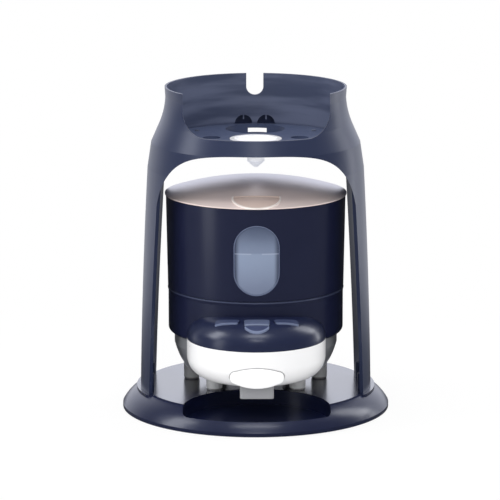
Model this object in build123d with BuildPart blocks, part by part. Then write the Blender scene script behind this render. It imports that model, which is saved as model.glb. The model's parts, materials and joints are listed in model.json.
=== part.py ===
"""A baby formula maker: a two-column stand with a portable powder dispenser stored inside it.

Millimetres, +Z up. The origin is the centre of the base on the surface that it stands on, the
front faces -Y, and everything round shares the Z axis except the nose, which has its own.
"""

from build123d import *
from math import atan2, cos, pi, radians, sin, sqrt
import os

os.makedirs("parts", exist_ok=True)

# ---------------------------------------------------------------- driving dimensions
fit_gap = 0.3  # running gap between pieces that move or drop in
seat_gap = 0.1  # gap between pieces that are fixed to each other

# base
foot_height = 1.2
skirt_gap = 0.8  # skirt's lower edge above the table
base_radius = 119.0
base_band_top = 4.0
base_top_radius = base_radius - 18.0
base_height = 20.0
base_wall = 3.0
skirt_bulge = 2.0
cover_thickness = 2.0
foot_radius = 9.0
foot_stem_radius = 3.0
foot_circle = base_radius - 15.0
base_screw_circle = base_radius - 31.0
base_screw_angles = (50.0, 130.0, 190.0, 350.0)
screw_radius = 1.5
screw_head_radius = 3.2
screw_head_height = 1.0
boss_radius = 4.0

# bottle recess in the base
recess_radius = 64.5
recess_centre_y = -88.0
recess_floor = 6.2
recess_lip_radius = base_radius - 6.5
recess_corner = 9.0
recess_wall = 2.5

# column pads on the base
pad_inner_radius = 96.0
pad_outer_radius = 106.5
pad_half_angle = 26.5
pad_corner = 6.0

# bell-shaped frame
foot_outer_radius = 103.0
waist_radius = 99.8
waist_z = 132.0
neck_radius = 95.7
neck_z = 218.0
knee_radius = 92.4
knee_z = 240.0
slope_radius = 84.6
slope_z = 257.8
bend_radius = 81.4
bend_z = 268.0
collar_radius = 79.7
collar_z = 280.0
rim_radius = 80.3
rim_z = 289.0
column_wall = 3.2
collar_wall = 1.8
dock_radius = 78.0  # bore of the inner skirt
dock_wall = 2.0
column_edge_low = 23.1  # degrees from the X axis to a column's edge, at the base
column_edge_high = 26.5  # the same at column_edge_z
column_edge_z = 195.0
column_edge_rear = 2.4  # degrees by which the columns reach further round at the rear
arch_top = 240.8
cutaway_half_width = 64.0
cutaway_corner = 20.0
cutaway_bottom = 253.6
notch_half_width = 7.7
notch_depth = 19.8
apron_half_angle = 54.0  # the inner skirt is left out behind the apron
column_boss_angle = 13.0
column_boss_height = 14.0

# deck
deck_top = 243.0
deck_thickness = 2.4
ledge_width = 3.0
ledge_thickness = 2.4
funnel_y = -5.0
funnel_radius = 23.0
funnel_step = 1.8
funnel_flange = 1.2
well_y = 49.0
well_radius = 26.5
well_wall = 1.6
well_depth = 10.6
well_slot_width = 17.0
well_slot_x = 2.2
well_slot_low = deck_top - 7.6
well_slot_high = deck_top - 3.6
foot_hole_x = 39.0
foot_hole_radius = 8.0
foot_cup_depth = 7.5
foot_cup_wall = 1.4
deck_screw_x = 52.4
deck_screw_y = 37.0
socket_radius = 8.0
socket_x = 10.2
socket_rib = 1.2

# nozzle below the deck
nozzle_radius = 7.8
nozzle_wall = 1.6
nozzle_shoulder_z = deck_top - 17.0
nozzle_neck_z = deck_top - 19.1
nozzle_tip_z = deck_top - 25.4
nozzle_bore = 0.9

# hopper
hopper_top = 193.0
hopper_top_radius = 79.7
hopper_seam_z = 111.2
hopper_seam_radius = 78.2
hopper_wall = 2.2
hopper_groove = 0.6
hopper_lip_slope = 1.2
hopper_lip_radius = 78.4
hopper_foot_radius = 77.8
hopper_bottom = 70.0
hopper_corner = 4.0
floor_thickness = 2.2
floor_inner_radius = 66.0
bin_wall = 1.6
bin_top = hopper_top - 5.0
bin_cone_z = 129.0
bin_floor_z = 113.0
bin_floor_radius = 38.0
bin_flange = 1.8
bin_ledge = 2.2

# window
window_half_width = 20.0
window_low = 116.5
window_high = hopper_top - 14.2
bezel_width = 0.8
bezel_proud = 0.35
pane_thickness = 1.8

# bowl and legs
bowl_radius = 72.5
bowl_wall = 2.4
bowl_shoulder_z = 60.0
bowl_side_radius = 69.3
bowl_side_z = 50.3
bowl_low_radius = 64.3
bowl_low_z = 41.0
bowl_bottom_radius = 50.0
bowl_bottom = 30.0
leg_radius = 7.1
leg_pad_height = 1.4
leg_places = ((37.0, -22.0), (57.5, 20.0), (32.0, 52.0))

# nose
nose_y = -49.0
nose_radius = 61.0
nose_wall = 2.2
nose_seam_z = 73.7
nose_crown = 98.8
nose_hopper_gap = 0.2
nose_screw_x = 45.0
nose_screw_y = -70.6
nose_screw_head = 2.6
nose_screw_grip = 9.0
nose_screw_base_z = 60.0
dome_shoulder = ((29.0, 97.5), (50.0, 92.9), (57.6, 85.6))  # radius and height on the way down
shell_side_z = 58.0
shell_turn_radius = 55.8
shell_turn_z = 45.2
shell_bottom_radius = 42.0
shell_bottom_z = 39.5

# keys
key_gap = 0.3
key_proud = 1.1
key_thickness = 3.6
key_back = 87.5  # from the Z axis to the middle key's back edge
key_depth = 9.0
side_key_x = 25.8
side_key_set_back = 5.4  # from the middle key's line
side_key_width = 21.6
side_key_depth = 6.2
side_key_turn = 17.0  # degrees, so that the outer end lies further back
centre_key_width = 21.8
start_key_width = 23.2
start_key_depth = 6.3
start_key_gap = 1.2
key_stem_radius = 2.0
key_stem_gap = 1.2
key_corner = 2.2

# outlet lever and spout
lever_width = 47.2
lever_shoulder = (5.0, 3.4)  # how far the upper corners are cut, across and down
lever_low = 41.8
lever_high = 59.4
lever_proud = 2.2
lever_back = 2.5
lever_gap = 0.5
lever_pivot_y = -101.5
lever_pivot_z = 56.6
pin_radius = 1.5
knuckle_radius = 3.4
knuckle_width = 5.0
knuckle_x = 12.5
bracket_width = 3.0
lever_reach = 40.0
spring_wire = 0.4
spring_coil_radius = 2.3
spring_turns = 7
spout_half_width = 14.7
spout_front = -103.4
spout_back = -80.4
spout_bottom = 31.0
spout_wall = 1.8
spout_corner = 3.0

# lid
lid_radius = hopper_top_radius + 0.9
lid_gap = 0.3
lid_rim_height = 0.9
lid_crown = hopper_top + 13.8
lid_wall = 2.0
tab_radius = 21.4
tab_centre_y = -61.2
tab_straight = 3.7  # length of the straight sides behind the half disc
tab_rim = 1.3
tab_proud = 1.1
tab_hollow = 0.4
liner_radius = hopper_top_radius - 6.1
liner_thickness = 1.8
seal_height = 2.8
seal_chamfer = 0.7
hinge_y = hopper_top_radius + 4.9
hinge_z = hopper_top - 1.2
hinge_radius = 3.4
hinge_knuckle = 15.0

# drive
plate_z = 84.0
plate_thickness = 2.5
plate_radius = 74.8
ledge_inner_radius = 69.5
plate_ledge_height = 4.0
shaft_radius = 4.0
shaft_bore = shaft_radius + 0.02  # bores that are pressed on the shaft
bush_radius = 6.0
gear_module = 1.0
gear_gap = 0.1  # extra centre distance for backlash
gear_teeth = 34
pinion_teeth = 12
gear_low = 90.0
gear_height = 6.0
pinion_height = 7.0
housing_floor_z = 99.0
housing_floor = 2.5
wheel_radius = 36.4
wheel_height = 10.0
pocket_circle = 27.5
pocket_radius = 7.0
pocket_count = 6
housing_wall = 2.5
motor_radius = 14.0
motor_length = 34.0
motor_shaft_radius = 2.5
motor_shaft_depth = 7.0
motor_screw_x = 9.0
drive_screw_radius = 1.3
drive_screw_head = 2.3
drive_screw_head_height = 1.6
plate_screw_angles = (35.0, 145.0, 215.0, 325.0)
post_radius = 3.0
post_circle = 34.0
post_angles = (40.0, 140.0, 220.0, 320.0)
agitator_hub_radius = 7.0
agitator_arm_reach = 34.0
agitator_arm_width = 4.0
agitator_arm_height = 3.0
agitator_finger_height = 10.0
agitator_arms = 3
shaft_bottom = 79.0
agitator_top = 128.0

# chute
chute_half_width = 8.6
chute_wall = 1.2
chute_bottom = 48.0

# electronics and battery
board_z = 80.0
board_thickness = 1.6
board_width = 81.0
board_depth = 8.4
board_centre_y = -83.9
board_tongue_width = 26.0
board_tongue_depth = 16.6
board_tongue_y = -95.5
board_middle_width = 64.0
board_middle_depth = 10.4
board_middle_y = -84.9
board_boss_x = 39.4
board_boss_y = -83.2
board_boss_radius = 2.5
board_screw_radius = 1.1
board_screw_grip = 4.5
switch_size = 6.0
switch_button_radius = 1.6
switch_button_height = 0.8
switch_height = 4.0
cell_radius = 7.1
cell_length = 50.0
cell_pitch = 14.8
cell_count = 4
cell_y = -4.0
box_wall = 1.6
door_thickness = 2.2


# ---------------------------------------------------------------- helpers
def save(piece, name):
    """Label a finished piece and write it to its own file."""
    piece.part.label = name
    export_step(piece.part, f"parts/{name}.step")


def skirt_point(inset, share):
    """A point of the base skirt's outline moved inwards; share 0 is its foot and 1 its top."""
    run = base_radius - base_top_radius
    rise = base_height - base_band_top
    length = sqrt(run * run + rise * rise)
    bulge = skirt_bulge * (1 - (2 * share - 1) ** 2)
    across = bulge - inset
    x = base_radius - run * share + across * rise / length
    z = base_band_top + rise * share + across * run / length
    return (x, z)


def dome_point(height, radius, rim_height, share):
    """A point on the parabola from the crown, share 0, to the rim, share 1."""
    return (radius * share, height + (rim_height - height) * share * share)


def ring_point(radius, angle):
    """A point in plan at an angle in degrees from +X."""
    return (radius * cos(radians(angle)), radius * sin(radians(angle)))


# ================================================================ STAND
# ---------------------------------------------------------------- base plate
cover_low = foot_height
cover_high = cover_low + cover_thickness
base_screw_places = [ring_point(base_screw_circle, angle) for angle in base_screw_angles]
foot_places = [ring_point(foot_circle, 45 + 90 * turn) for turn in range(4)]
column_boss_places = [
    ring_point(foot_outer_radius - column_wall - boss_radius + 1.0, side + turn)
    for side in (0, 180)
    for turn in (-column_boss_angle, column_boss_angle)
]

with BuildPart() as base_envelope:
    with BuildSketch(Plane.XZ):
        with BuildLine():
            Polyline((base_top_radius, base_height), (0, base_height), (0, skirt_gap),
                     (base_radius, skirt_gap), (base_radius, base_band_top))
            ThreePointArc(skirt_point(0, 0), skirt_point(0, 0.5), skirt_point(0, 1))
        make_face()
    revolve(axis=Axis.Z)


def recess_plan(grow, level):
    """The recess's outline at a height: its own circle cut off by the lip, with round corners."""
    own = recess_radius + grow
    lip = recess_lip_radius + grow
    corner = recess_corner + grow
    reach = -recess_centre_y
    y = ((own - corner) ** 2 - (lip - corner) ** 2 - reach**2) / (2 * reach)
    x = sqrt((lip - corner) ** 2 - y * y)
    centre = Vector(x, y)
    on_own = centre + (centre - Vector(0, -reach)).normalized() * corner
    on_lip = centre + centre.normalized() * corner
    between = centre + ((on_own - centre) + (on_lip - centre)).normalized() * corner
    with BuildSketch(Plane.XY.offset(level)) as plan:
        with BuildLine():
            ThreePointArc(on_own, (0, recess_centre_y + own), (-on_own.X, on_own.Y))
            ThreePointArc((-on_own.X, on_own.Y), (-between.X, between.Y), (-on_lip.X, on_lip.Y))
            ThreePointArc((-on_lip.X, on_lip.Y), (0, -lip), on_lip)
            ThreePointArc(on_lip, between, on_own)
        make_face()
    return plan.sketch


with BuildPart() as recess_cup:
    extrude(recess_plan(recess_wall, cover_high), amount=base_height - cover_high)
    add(base_envelope.part, mode=Mode.INTERSECT)

with BuildPart() as base_plate:
    with BuildSketch(Plane.XZ):
        inner_foot = skirt_point(base_wall, 0)
        inner_top = skirt_point(base_wall, 0.92)
        with BuildLine():
            Line((0, base_height), (base_top_radius, base_height))
            ThreePointArc(skirt_point(0, 1), skirt_point(0, 0.5), skirt_point(0, 0))
            Polyline((base_radius, base_band_top), (base_radius, skirt_gap),
                     (inner_foot[0], skirt_gap), inner_foot)
            ThreePointArc(inner_foot, skirt_point(base_wall, 0.5), inner_top)
            Polyline(inner_top, (inner_top[0] - 1.5, base_height - base_wall),
                     (0, base_height - base_wall), (0, base_height))
        make_face()
    revolve(axis=Axis.Z)
    add(recess_cup.part)
    # pads that the two columns stand on
    for side in (0, 180):
        with BuildSketch(Plane.XY.offset(base_height - 8.0)) as pad_outline:
            with BuildLine():
                outer_a = ring_point(pad_outer_radius, side - pad_half_angle)
                outer_m = ring_point(pad_outer_radius, side)
                outer_b = ring_point(pad_outer_radius, side + pad_half_angle)
                inner_b = ring_point(pad_inner_radius, side + pad_half_angle)
                inner_m = ring_point(pad_inner_radius, side)
                inner_a = ring_point(pad_inner_radius, side - pad_half_angle)
                ThreePointArc(outer_a, outer_m, outer_b)
                Line(outer_b, inner_b)
                ThreePointArc(inner_b, inner_m, inner_a)
                Line(inner_a, outer_a)
            make_face()
            fillet(pad_outline.vertices().sort_by(lambda v: -(v.X**2 + v.Y**2))[0:2], pad_corner)
        extrude(amount=8.0)
    # screw bosses under the top, and holes for the screws that hold the columns
    with BuildSketch(Plane.XY.offset(cover_high)):
        with Locations(base_screw_places):
            Circle(boss_radius)
    extrude(amount=base_height - base_wall - cover_high + 1.0)
    with BuildSketch(Plane.XY.offset(cover_high)):
        with Locations(base_screw_places):
            Circle(screw_radius + seat_gap)
    extrude(amount=12.0, mode=Mode.SUBTRACT)
    with BuildSketch(Plane.XY.offset(base_height)):
        with Locations(column_boss_places):
            Circle(screw_radius + fit_gap)
    extrude(amount=-10.0, mode=Mode.SUBTRACT)
    with BuildSketch(Plane.XY.offset(base_height - base_wall)):
        with Locations(column_boss_places):
            Circle(screw_head_radius + fit_gap)
    extrude(amount=-10.0, mode=Mode.SUBTRACT)
    extrude(recess_plan(0, recess_floor), amount=base_height, mode=Mode.SUBTRACT)
save(base_plate, "base_plate")

with BuildPart() as base_cover:
    with BuildSketch(Plane.XY.offset(cover_low)):
        Circle(base_radius - base_wall - fit_gap)
    extrude(amount=cover_thickness)
    with BuildSketch(Plane.XY.offset(cover_low)):
        with Locations(base_screw_places):
            Circle(screw_radius + fit_gap)
        with Locations(foot_places):
            Circle(foot_stem_radius + seat_gap)
    extrude(amount=cover_thickness, mode=Mode.SUBTRACT)
save(base_cover, "base_cover")

with BuildPart() as base_feet:
    with BuildSketch():
        with Locations(foot_places):
            Circle(foot_radius)
    extrude(amount=foot_height)
    chamfer(base_feet.edges().group_by(Axis.Z)[0], 0.4)
    with BuildSketch(Plane.XY.offset(foot_height)):
        with Locations(foot_places):
            Circle(foot_stem_radius)
    extrude(amount=cover_thickness + 1.2)
save(base_feet, "base_feet")

with BuildPart() as base_screws:
    with BuildSketch(Plane.XY.offset(cover_low - screw_head_height)):
        with Locations(base_screw_places):
            Circle(screw_head_radius)
    extrude(amount=screw_head_height)
    with BuildSketch(Plane.XY.offset(cover_low)):
        with Locations(base_screw_places):
            Circle(screw_radius)
    extrude(amount=10.0)
save(base_screws, "base_screws")

# ---------------------------------------------------------------- bell-shaped frame
ledge_top = deck_top - deck_thickness
ledge_bottom = ledge_top - ledge_thickness
dock_outer = dock_radius + dock_wall
slope_wall = (column_wall + collar_wall) / 2
slope_tilt = atan2(knee_radius - slope_radius, slope_z - knee_z)
inner_slope_drop = slope_wall * sin(slope_tilt)
inner_knee = (knee_radius - column_wall, knee_z - inner_slope_drop)
inner_slope = (slope_radius - slope_wall / cos(slope_tilt), slope_z - inner_slope_drop)
# where the bell's inside runs into the inner skirt
skirt_share = (inner_knee[0] - dock_outer) / (inner_knee[0] - inner_slope[0])
skirt_meets_z = min(inner_slope[1] + 1.5, inner_knee[1] + skirt_share * (inner_slope[1] - inner_knee[1]))
inner_slope_end = (max(inner_slope[0], dock_outer + 0.5), inner_slope[1])

with BuildPart() as stand_frame:
    with BuildSketch(Plane.XZ):
        with BuildLine():
            ThreePointArc((foot_outer_radius, base_height), (waist_radius, waist_z),
                          (neck_radius, neck_z))
            Line((neck_radius, neck_z), (knee_radius, knee_z))
            Line((knee_radius, knee_z), (slope_radius, slope_z))
            Spline((slope_radius, slope_z), (bend_radius, bend_z), (collar_radius, collar_z))
            Line((collar_radius, collar_z), (rim_radius, rim_z))
            Polyline((rim_radius, rim_z), (rim_radius - collar_wall, rim_z),
                     (dock_radius, collar_z), (dock_radius, ledge_top),
                     (dock_radius - ledge_width, ledge_top),
                     (dock_radius - ledge_width, ledge_bottom), (dock_outer, ledge_bottom),
                     (dock_outer, skirt_meets_z), inner_slope_end, inner_knee,
                     (neck_radius - column_wall, neck_z))
            ThreePointArc((neck_radius - column_wall, neck_z),
                          (waist_radius - column_wall, waist_z),
                          (foot_outer_radius - column_wall, base_height))
            Line((foot_outer_radius - column_wall, base_height), (foot_outer_radius, base_height))
        make_face()
    revolve(axis=Axis.Z)
    # screw bosses inside the columns' feet
    with BuildSketch(Plane.XY.offset(base_height)):
        with Locations(column_boss_places):
            Circle(boss_radius)
    extrude(amount=column_boss_height)

# the arched opening: a wedge that leaves the columns' radial edges, under an arched top
edge_rate = (column_edge_high - column_edge_low) / (column_edge_z - base_height)
wedge_low_z = base_height - 1.0
wedge_high_z = arch_top + 1.0
wedge_reach = 140.0


def arch_wedge(turn):
    """The room between the columns' radial edges, which are turned by some degrees."""
    with BuildPart() as wedge:
        for level in (wedge_low_z, wedge_high_z):
            edge = radians(column_edge_low + turn + edge_rate * (level - base_height))
            across, along = wedge_reach * cos(edge), -wedge_reach * sin(edge)
            with BuildSketch(Plane.XY.offset(level)):
                with BuildLine():
                    Polyline((0, 0), (across, along), (across, -wedge_reach), (-across, -wedge_reach),
                             (-across, along), close=True)
                make_face()
        loft(ruled=True)
    return wedge.part


arch_side_low = foot_outer_radius
arch_side_x = 88.6
arch_side_z = 176.0
arch_half_points = ((86.6, 192.0), (84.0, 203.0), (80.6, 212.0), (75.6, 220.6), (67.8, 229.0),
                    (57.6, 235.0), (43.6, 238.8))
with BuildPart() as arch_profile:
    with BuildSketch(Plane.XZ):
        with BuildLine():
            left_points = [(-x, z) for x, z in arch_half_points]
            right_points = list(reversed(arch_half_points))
            Spline((-arch_side_x, arch_side_z), *left_points, (0, arch_top), *right_points,
                   (arch_side_x, arch_side_z), tangents=((0.1, 1), (0.1, -1)))
            Polyline((arch_side_x, arch_side_z), (arch_side_low, base_height - 1),
                     (-arch_side_low, base_height - 1), (-arch_side_x, arch_side_z))
        make_face()
    extrude(amount=wedge_reach)

with BuildPart() as front_arch:
    add(arch_profile.part)
    add(arch_wedge(0), mode=Mode.INTERSECT)

with BuildPart() as rear_arch:
    add(arch_profile.part)
    add(arch_wedge(column_edge_rear), mode=Mode.INTERSECT)

with BuildPart() as cutaway:
    with BuildSketch(Plane.XZ) as cutaway_outline:
        with Locations((0, cutaway_bottom + 50)):
            Rectangle(2 * cutaway_half_width, 100)
        fillet(cutaway_outline.vertices().group_by(Axis.Y)[0], cutaway_corner)
    extrude(amount=wedge_reach)

with BuildPart() as apron_clearance:
    with BuildSketch(Plane.XY.offset(ledge_bottom - 1)):
        with BuildLine():
            apron_corner = ring_point(dock_outer, 270 + apron_half_angle)
            ThreePointArc((-apron_corner[0], apron_corner[1]), (0, -dock_outer - 0.01), apron_corner)
            Polyline(apron_corner, (0, 0), (-apron_corner[0], apron_corner[1]))
        make_face()
    extrude(amount=cutaway_bottom - ledge_bottom + 12)

with BuildPart(mode=Mode.PRIVATE) as notch:
    with BuildSketch(Plane.XZ):
        with BuildLine():
            notch_centre_z = rim_z - notch_depth + notch_half_width
            Polyline((notch_half_width, notch_centre_z), (notch_half_width, rim_z + 5),
                     (-notch_half_width, rim_z + 5), (-notch_half_width, notch_centre_z))
            ThreePointArc((-notch_half_width, notch_centre_z),
                          (0, notch_centre_z - notch_half_width), (notch_half_width, notch_centre_z))
        make_face()
    extrude(amount=-wedge_reach)

with BuildPart() as sockets:
    for side in (-1, 1):
        with BuildSketch(Plane.XZ.offset(-dock_radius + 8)):
            with BuildLine():
                left = (side * socket_x - socket_radius, deck_top)
                right = (side * socket_x + socket_radius, deck_top)
                ThreePointArc(left, (side * socket_x, deck_top + socket_radius), right)
                Line(right, left)
            make_face()
            with Locations((side * socket_x, deck_top + socket_radius)):
                Rectangle(socket_rib, socket_radius, mode=Mode.SUBTRACT)
        extrude(amount=-(dock_wall + 8.2))

with stand_frame:
    add(front_arch.part, mode=Mode.SUBTRACT)
    add(rear_arch.part.mirror(Plane.XZ), mode=Mode.SUBTRACT)
    add(cutaway.part, mode=Mode.SUBTRACT)
    add(apron_clearance.part, mode=Mode.SUBTRACT)
    add(notch.part, mode=Mode.SUBTRACT)
    add(sockets.part, mode=Mode.SUBTRACT)
    with BuildSketch(Plane.XY.offset(base_height)):
        with Locations(column_boss_places):
            Circle(screw_radius + seat_gap)
    extrude(amount=column_boss_height - 2, mode=Mode.SUBTRACT)
save(stand_frame, "stand_frame")

with BuildPart() as frame_screws:
    with BuildSketch(Plane.XY.offset(base_height - base_wall)):
        with Locations(column_boss_places):
            Circle(screw_head_radius)
    extrude(amount=-2.0)
    with BuildSketch(Plane.XY.offset(base_height - base_wall)):
        with Locations(column_boss_places):
            Circle(screw_radius)
    extrude(amount=base_wall + column_boss_height - 4)
save(frame_screws, "frame_screws")

# ---------------------------------------------------------------- deck
front_reach = inner_slope[0] + (knee_radius - slope_radius) * (slope_z - deck_top) / (slope_z - knee_z) - 1.0
deck_screw_places = [(side * deck_screw_x, y) for side in (-1, 1) for y in (deck_screw_y, -deck_screw_y)]
foot_hole_places = [(side * foot_hole_x, 0) for side in (-1, 1)]

with BuildPart() as deck_plate:
    with BuildSketch(Plane.XY.offset(ledge_top)):
        Circle(dock_radius - fit_gap)
        with BuildLine():
            front_corner = ring_point(front_reach, 270 + apron_half_angle - 1.5)
            ThreePointArc((-front_corner[0], front_corner[1]), (0, -front_reach), front_corner)
            Polyline(front_corner, (0, 0), (-front_corner[0], front_corner[1]))
        make_face()
    extrude(amount=deck_thickness)
    # the round well behind the middle, with a slot through its back
    with BuildSketch(Plane.XY.offset(deck_top - well_depth - well_wall)):
        with Locations((0, well_y)):
            Circle(well_radius + well_wall)
    extrude(amount=well_depth + well_wall)
    with BuildSketch(Plane.XY.offset(deck_top - well_depth)):
        with Locations((0, well_y)):
            Circle(well_radius)
    extrude(amount=well_depth, mode=Mode.SUBTRACT)
    with BuildSketch(Plane.XZ.offset(-well_y)):
        with Locations((well_slot_x, (well_slot_low + well_slot_high) / 2)):
            Rectangle(well_slot_width, well_slot_high - well_slot_low)
    extrude(amount=-(well_radius + 2 * well_wall), mode=Mode.SUBTRACT)
    # stepped seat of the funnel
    with BuildSketch(Plane.XY.offset(ledge_top)):
        with Locations((0, funnel_y)):
            Circle(funnel_radius - funnel_step)
        with Locations(deck_screw_places):
            Circle(screw_radius + seat_gap)
    extrude(amount=deck_thickness, mode=Mode.SUBTRACT)
    with BuildSketch(Plane.XY.offset(deck_top - funnel_flange)):
        with Locations((0, funnel_y)):
            Circle(funnel_radius + fit_gap)
    extrude(amount=funnel_flange, mode=Mode.SUBTRACT)
    # a cup on each side of the funnel
    with BuildSketch(Plane.XY.offset(deck_top - foot_cup_depth - foot_cup_wall)):
        with Locations(foot_hole_places):
            Circle(foot_hole_radius + foot_cup_wall)
    extrude(amount=foot_cup_depth)
    with BuildSketch(Plane.XY.offset(deck_top - foot_cup_depth)):
        with Locations(foot_hole_places):
            Circle(foot_hole_radius)
    extrude(amount=foot_cup_depth, mode=Mode.SUBTRACT)
    # bosses that take the four cover screws
    with BuildSketch(Plane.XY.offset(ledge_top)):
        with Locations(deck_screw_places):
            Circle(boss_radius)
            Circle(screw_radius + seat_gap, mode=Mode.SUBTRACT)
    extrude(amount=-8.0)
save(deck_plate, "deck_plate")

with BuildPart() as deck_screws:
    with BuildSketch(Plane.XY.offset(deck_top)):
        with Locations(deck_screw_places):
            Circle(screw_head_radius - 1.2)
    extrude(amount=0.6)
    with BuildSketch(Plane.XY.offset(deck_top)):
        with Locations(deck_screw_places):
            Circle(screw_radius)
    extrude(amount=-(deck_thickness + 7.0))
save(deck_screws, "deck_screws")

# ---------------------------------------------------------------- nozzle
funnel_plane = Plane.XZ.offset(-funnel_y)
flange_low = deck_top - funnel_flange
funnel_mouth = funnel_radius - funnel_step - fit_gap
with BuildPart() as nozzle_funnel:
    with BuildSketch(funnel_plane):
        with BuildLine():
            Polyline((funnel_mouth - nozzle_wall, deck_top), (funnel_radius, deck_top),
                     (funnel_radius, flange_low), (funnel_mouth, flange_low),
                     (funnel_mouth, flange_low - 1.6), (nozzle_radius, nozzle_shoulder_z),
                     (nozzle_radius, nozzle_neck_z), (nozzle_radius - nozzle_wall, nozzle_neck_z),
                     (nozzle_radius - nozzle_wall, nozzle_shoulder_z + 0.6),
                     (funnel_mouth - nozzle_wall, flange_low - 1.0), close=True)
        make_face()
    revolve(axis=Axis((0, funnel_y, 0), (0, 0, 1)))
save(nozzle_funnel, "nozzle_funnel")

with BuildPart() as nozzle_tip:
    with BuildSketch(funnel_plane):
        with BuildLine():
            stem = nozzle_radius - nozzle_wall - 0.02
            Polyline((nozzle_bore, nozzle_tip_z), (nozzle_bore + 0.7, nozzle_tip_z),
                     (nozzle_radius, nozzle_neck_z - 0.9), (nozzle_radius, nozzle_neck_z),
                     (stem, nozzle_neck_z), (stem, nozzle_shoulder_z), (stem - 1.2, nozzle_shoulder_z),
                     (stem - 1.2, nozzle_neck_z), (nozzle_bore, nozzle_tip_z + 1.4), close=True)
        make_face()
    revolve(axis=Axis((0, funnel_y, 0), (0, 0, 1)))
save(nozzle_tip, "nozzle_tip")

# ================================================================ DISPENSER
# ---------------------------------------------------------------- hopper shells
seam_low = hopper_seam_z - hopper_groove
hopper_bore = hopper_seam_radius - hopper_wall


def hopper_radius(z):
    """The outside radius of the upper hopper shell."""
    share = (z - hopper_seam_z) / (hopper_top - hopper_seam_z)
    return hopper_seam_radius + (hopper_top_radius - hopper_seam_radius) * share


def stadium(half_width, low, high):
    """An upright slot with round ends, seen from the front."""
    with BuildSketch(Plane.XZ) as slot:
        with Locations((0, (low + high) / 2)):
            SlotOverall(high - low, 2 * half_width, rotation=90)
    return slot.sketch


window_reach = 100.0
with BuildPart() as hopper_upper:
    with BuildSketch(Plane.XZ):
        with BuildLine():
            Polyline((hopper_seam_radius, hopper_seam_z), (hopper_top_radius, hopper_top),
                     (hopper_top_radius - hopper_wall, hopper_top),
                     (hopper_radius(bin_top) - hopper_wall, bin_top),
                     (hopper_radius(bin_top) - hopper_wall - bin_ledge, bin_top),
                     (hopper_radius(bin_top) - hopper_wall - bin_ledge, bin_top - 2),
                     (hopper_radius(bin_top - 4) - hopper_wall, bin_top - 4),
                     (hopper_bore, hopper_seam_z), close=True)
        make_face()
    revolve(axis=Axis.Z)
    extrude(stadium(window_half_width, window_low, window_high), amount=window_reach,
            mode=Mode.SUBTRACT)
save(hopper_upper, "hopper_upper")

with BuildPart() as window_bezel:
    with BuildSketch(Plane.XZ):
        with BuildLine():
            proud = bezel_proud
            Polyline((hopper_bore, hopper_seam_z), (hopper_seam_radius + proud, hopper_seam_z),
                     (hopper_top_radius + proud, hopper_top),
                     (hopper_top_radius - hopper_wall, hopper_top), close=True)
        make_face()
    revolve(axis=Axis.Z)
    extrude(stadium(window_half_width - seat_gap, window_low + seat_gap, window_high - seat_gap),
            amount=window_reach, mode=Mode.INTERSECT)
    extrude(stadium(window_half_width - bezel_width, window_low + bezel_width,
                    window_high - bezel_width), amount=window_reach, mode=Mode.SUBTRACT)
save(window_bezel, "window_bezel")

pane_inset = 0.5
with BuildPart() as window_pane:
    with BuildSketch(Plane.XZ):
        with BuildLine():
            deep = pane_inset + pane_thickness
            Polyline((hopper_seam_radius - deep, hopper_seam_z),
                     (hopper_seam_radius - pane_inset, hopper_seam_z),
                     (hopper_top_radius - pane_inset, hopper_top), (hopper_top_radius - deep, hopper_top),
                     close=True)
        make_face()
    revolve(axis=Axis.Z)
    pane_edge = bezel_width + 0.02
    extrude(stadium(window_half_width - pane_edge, window_low + pane_edge, window_high - pane_edge),
            amount=window_reach, mode=Mode.INTERSECT)
save(window_pane, "window_pane")

# the chute's side view, used for the channel and for every hole that it passes through
chute_mouth = (-pocket_circle - pocket_radius - 1.5, -pocket_circle + pocket_radius + 0.2)
chute_end = (spout_front + spout_wall + 4.5, spout_back - spout_wall - 1.6)
chute_slope_top = 92.5
chute_slope_low = 85.5
chute_fall_top = 61.0
chute_fall_low = 53.0


def chute_side(grow, low, high):
    """The side view of the chute on the YZ plane, grown on all sides."""
    front, back = chute_mouth[0] - grow, chute_mouth[1] + grow
    end_front, end_back = chute_end[0] - grow, chute_end[1] + grow
    with BuildSketch(Plane.YZ) as side_view:
        with BuildLine():
            Polyline((front, high), (front, chute_slope_top + grow / 2),
                     (end_front, chute_fall_top + grow), (end_front, low), (end_back, low),
                     (end_back, chute_fall_low - grow / 2), (back, chute_slope_low - grow),
                     (back, high), close=True)
        make_face()
    return side_view.sketch


with BuildPart() as chute_clearance:
    extrude(chute_side(chute_wall + fit_gap, chute_bottom, housing_floor_z),
            amount=chute_half_width + fit_gap, both=True)

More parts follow.
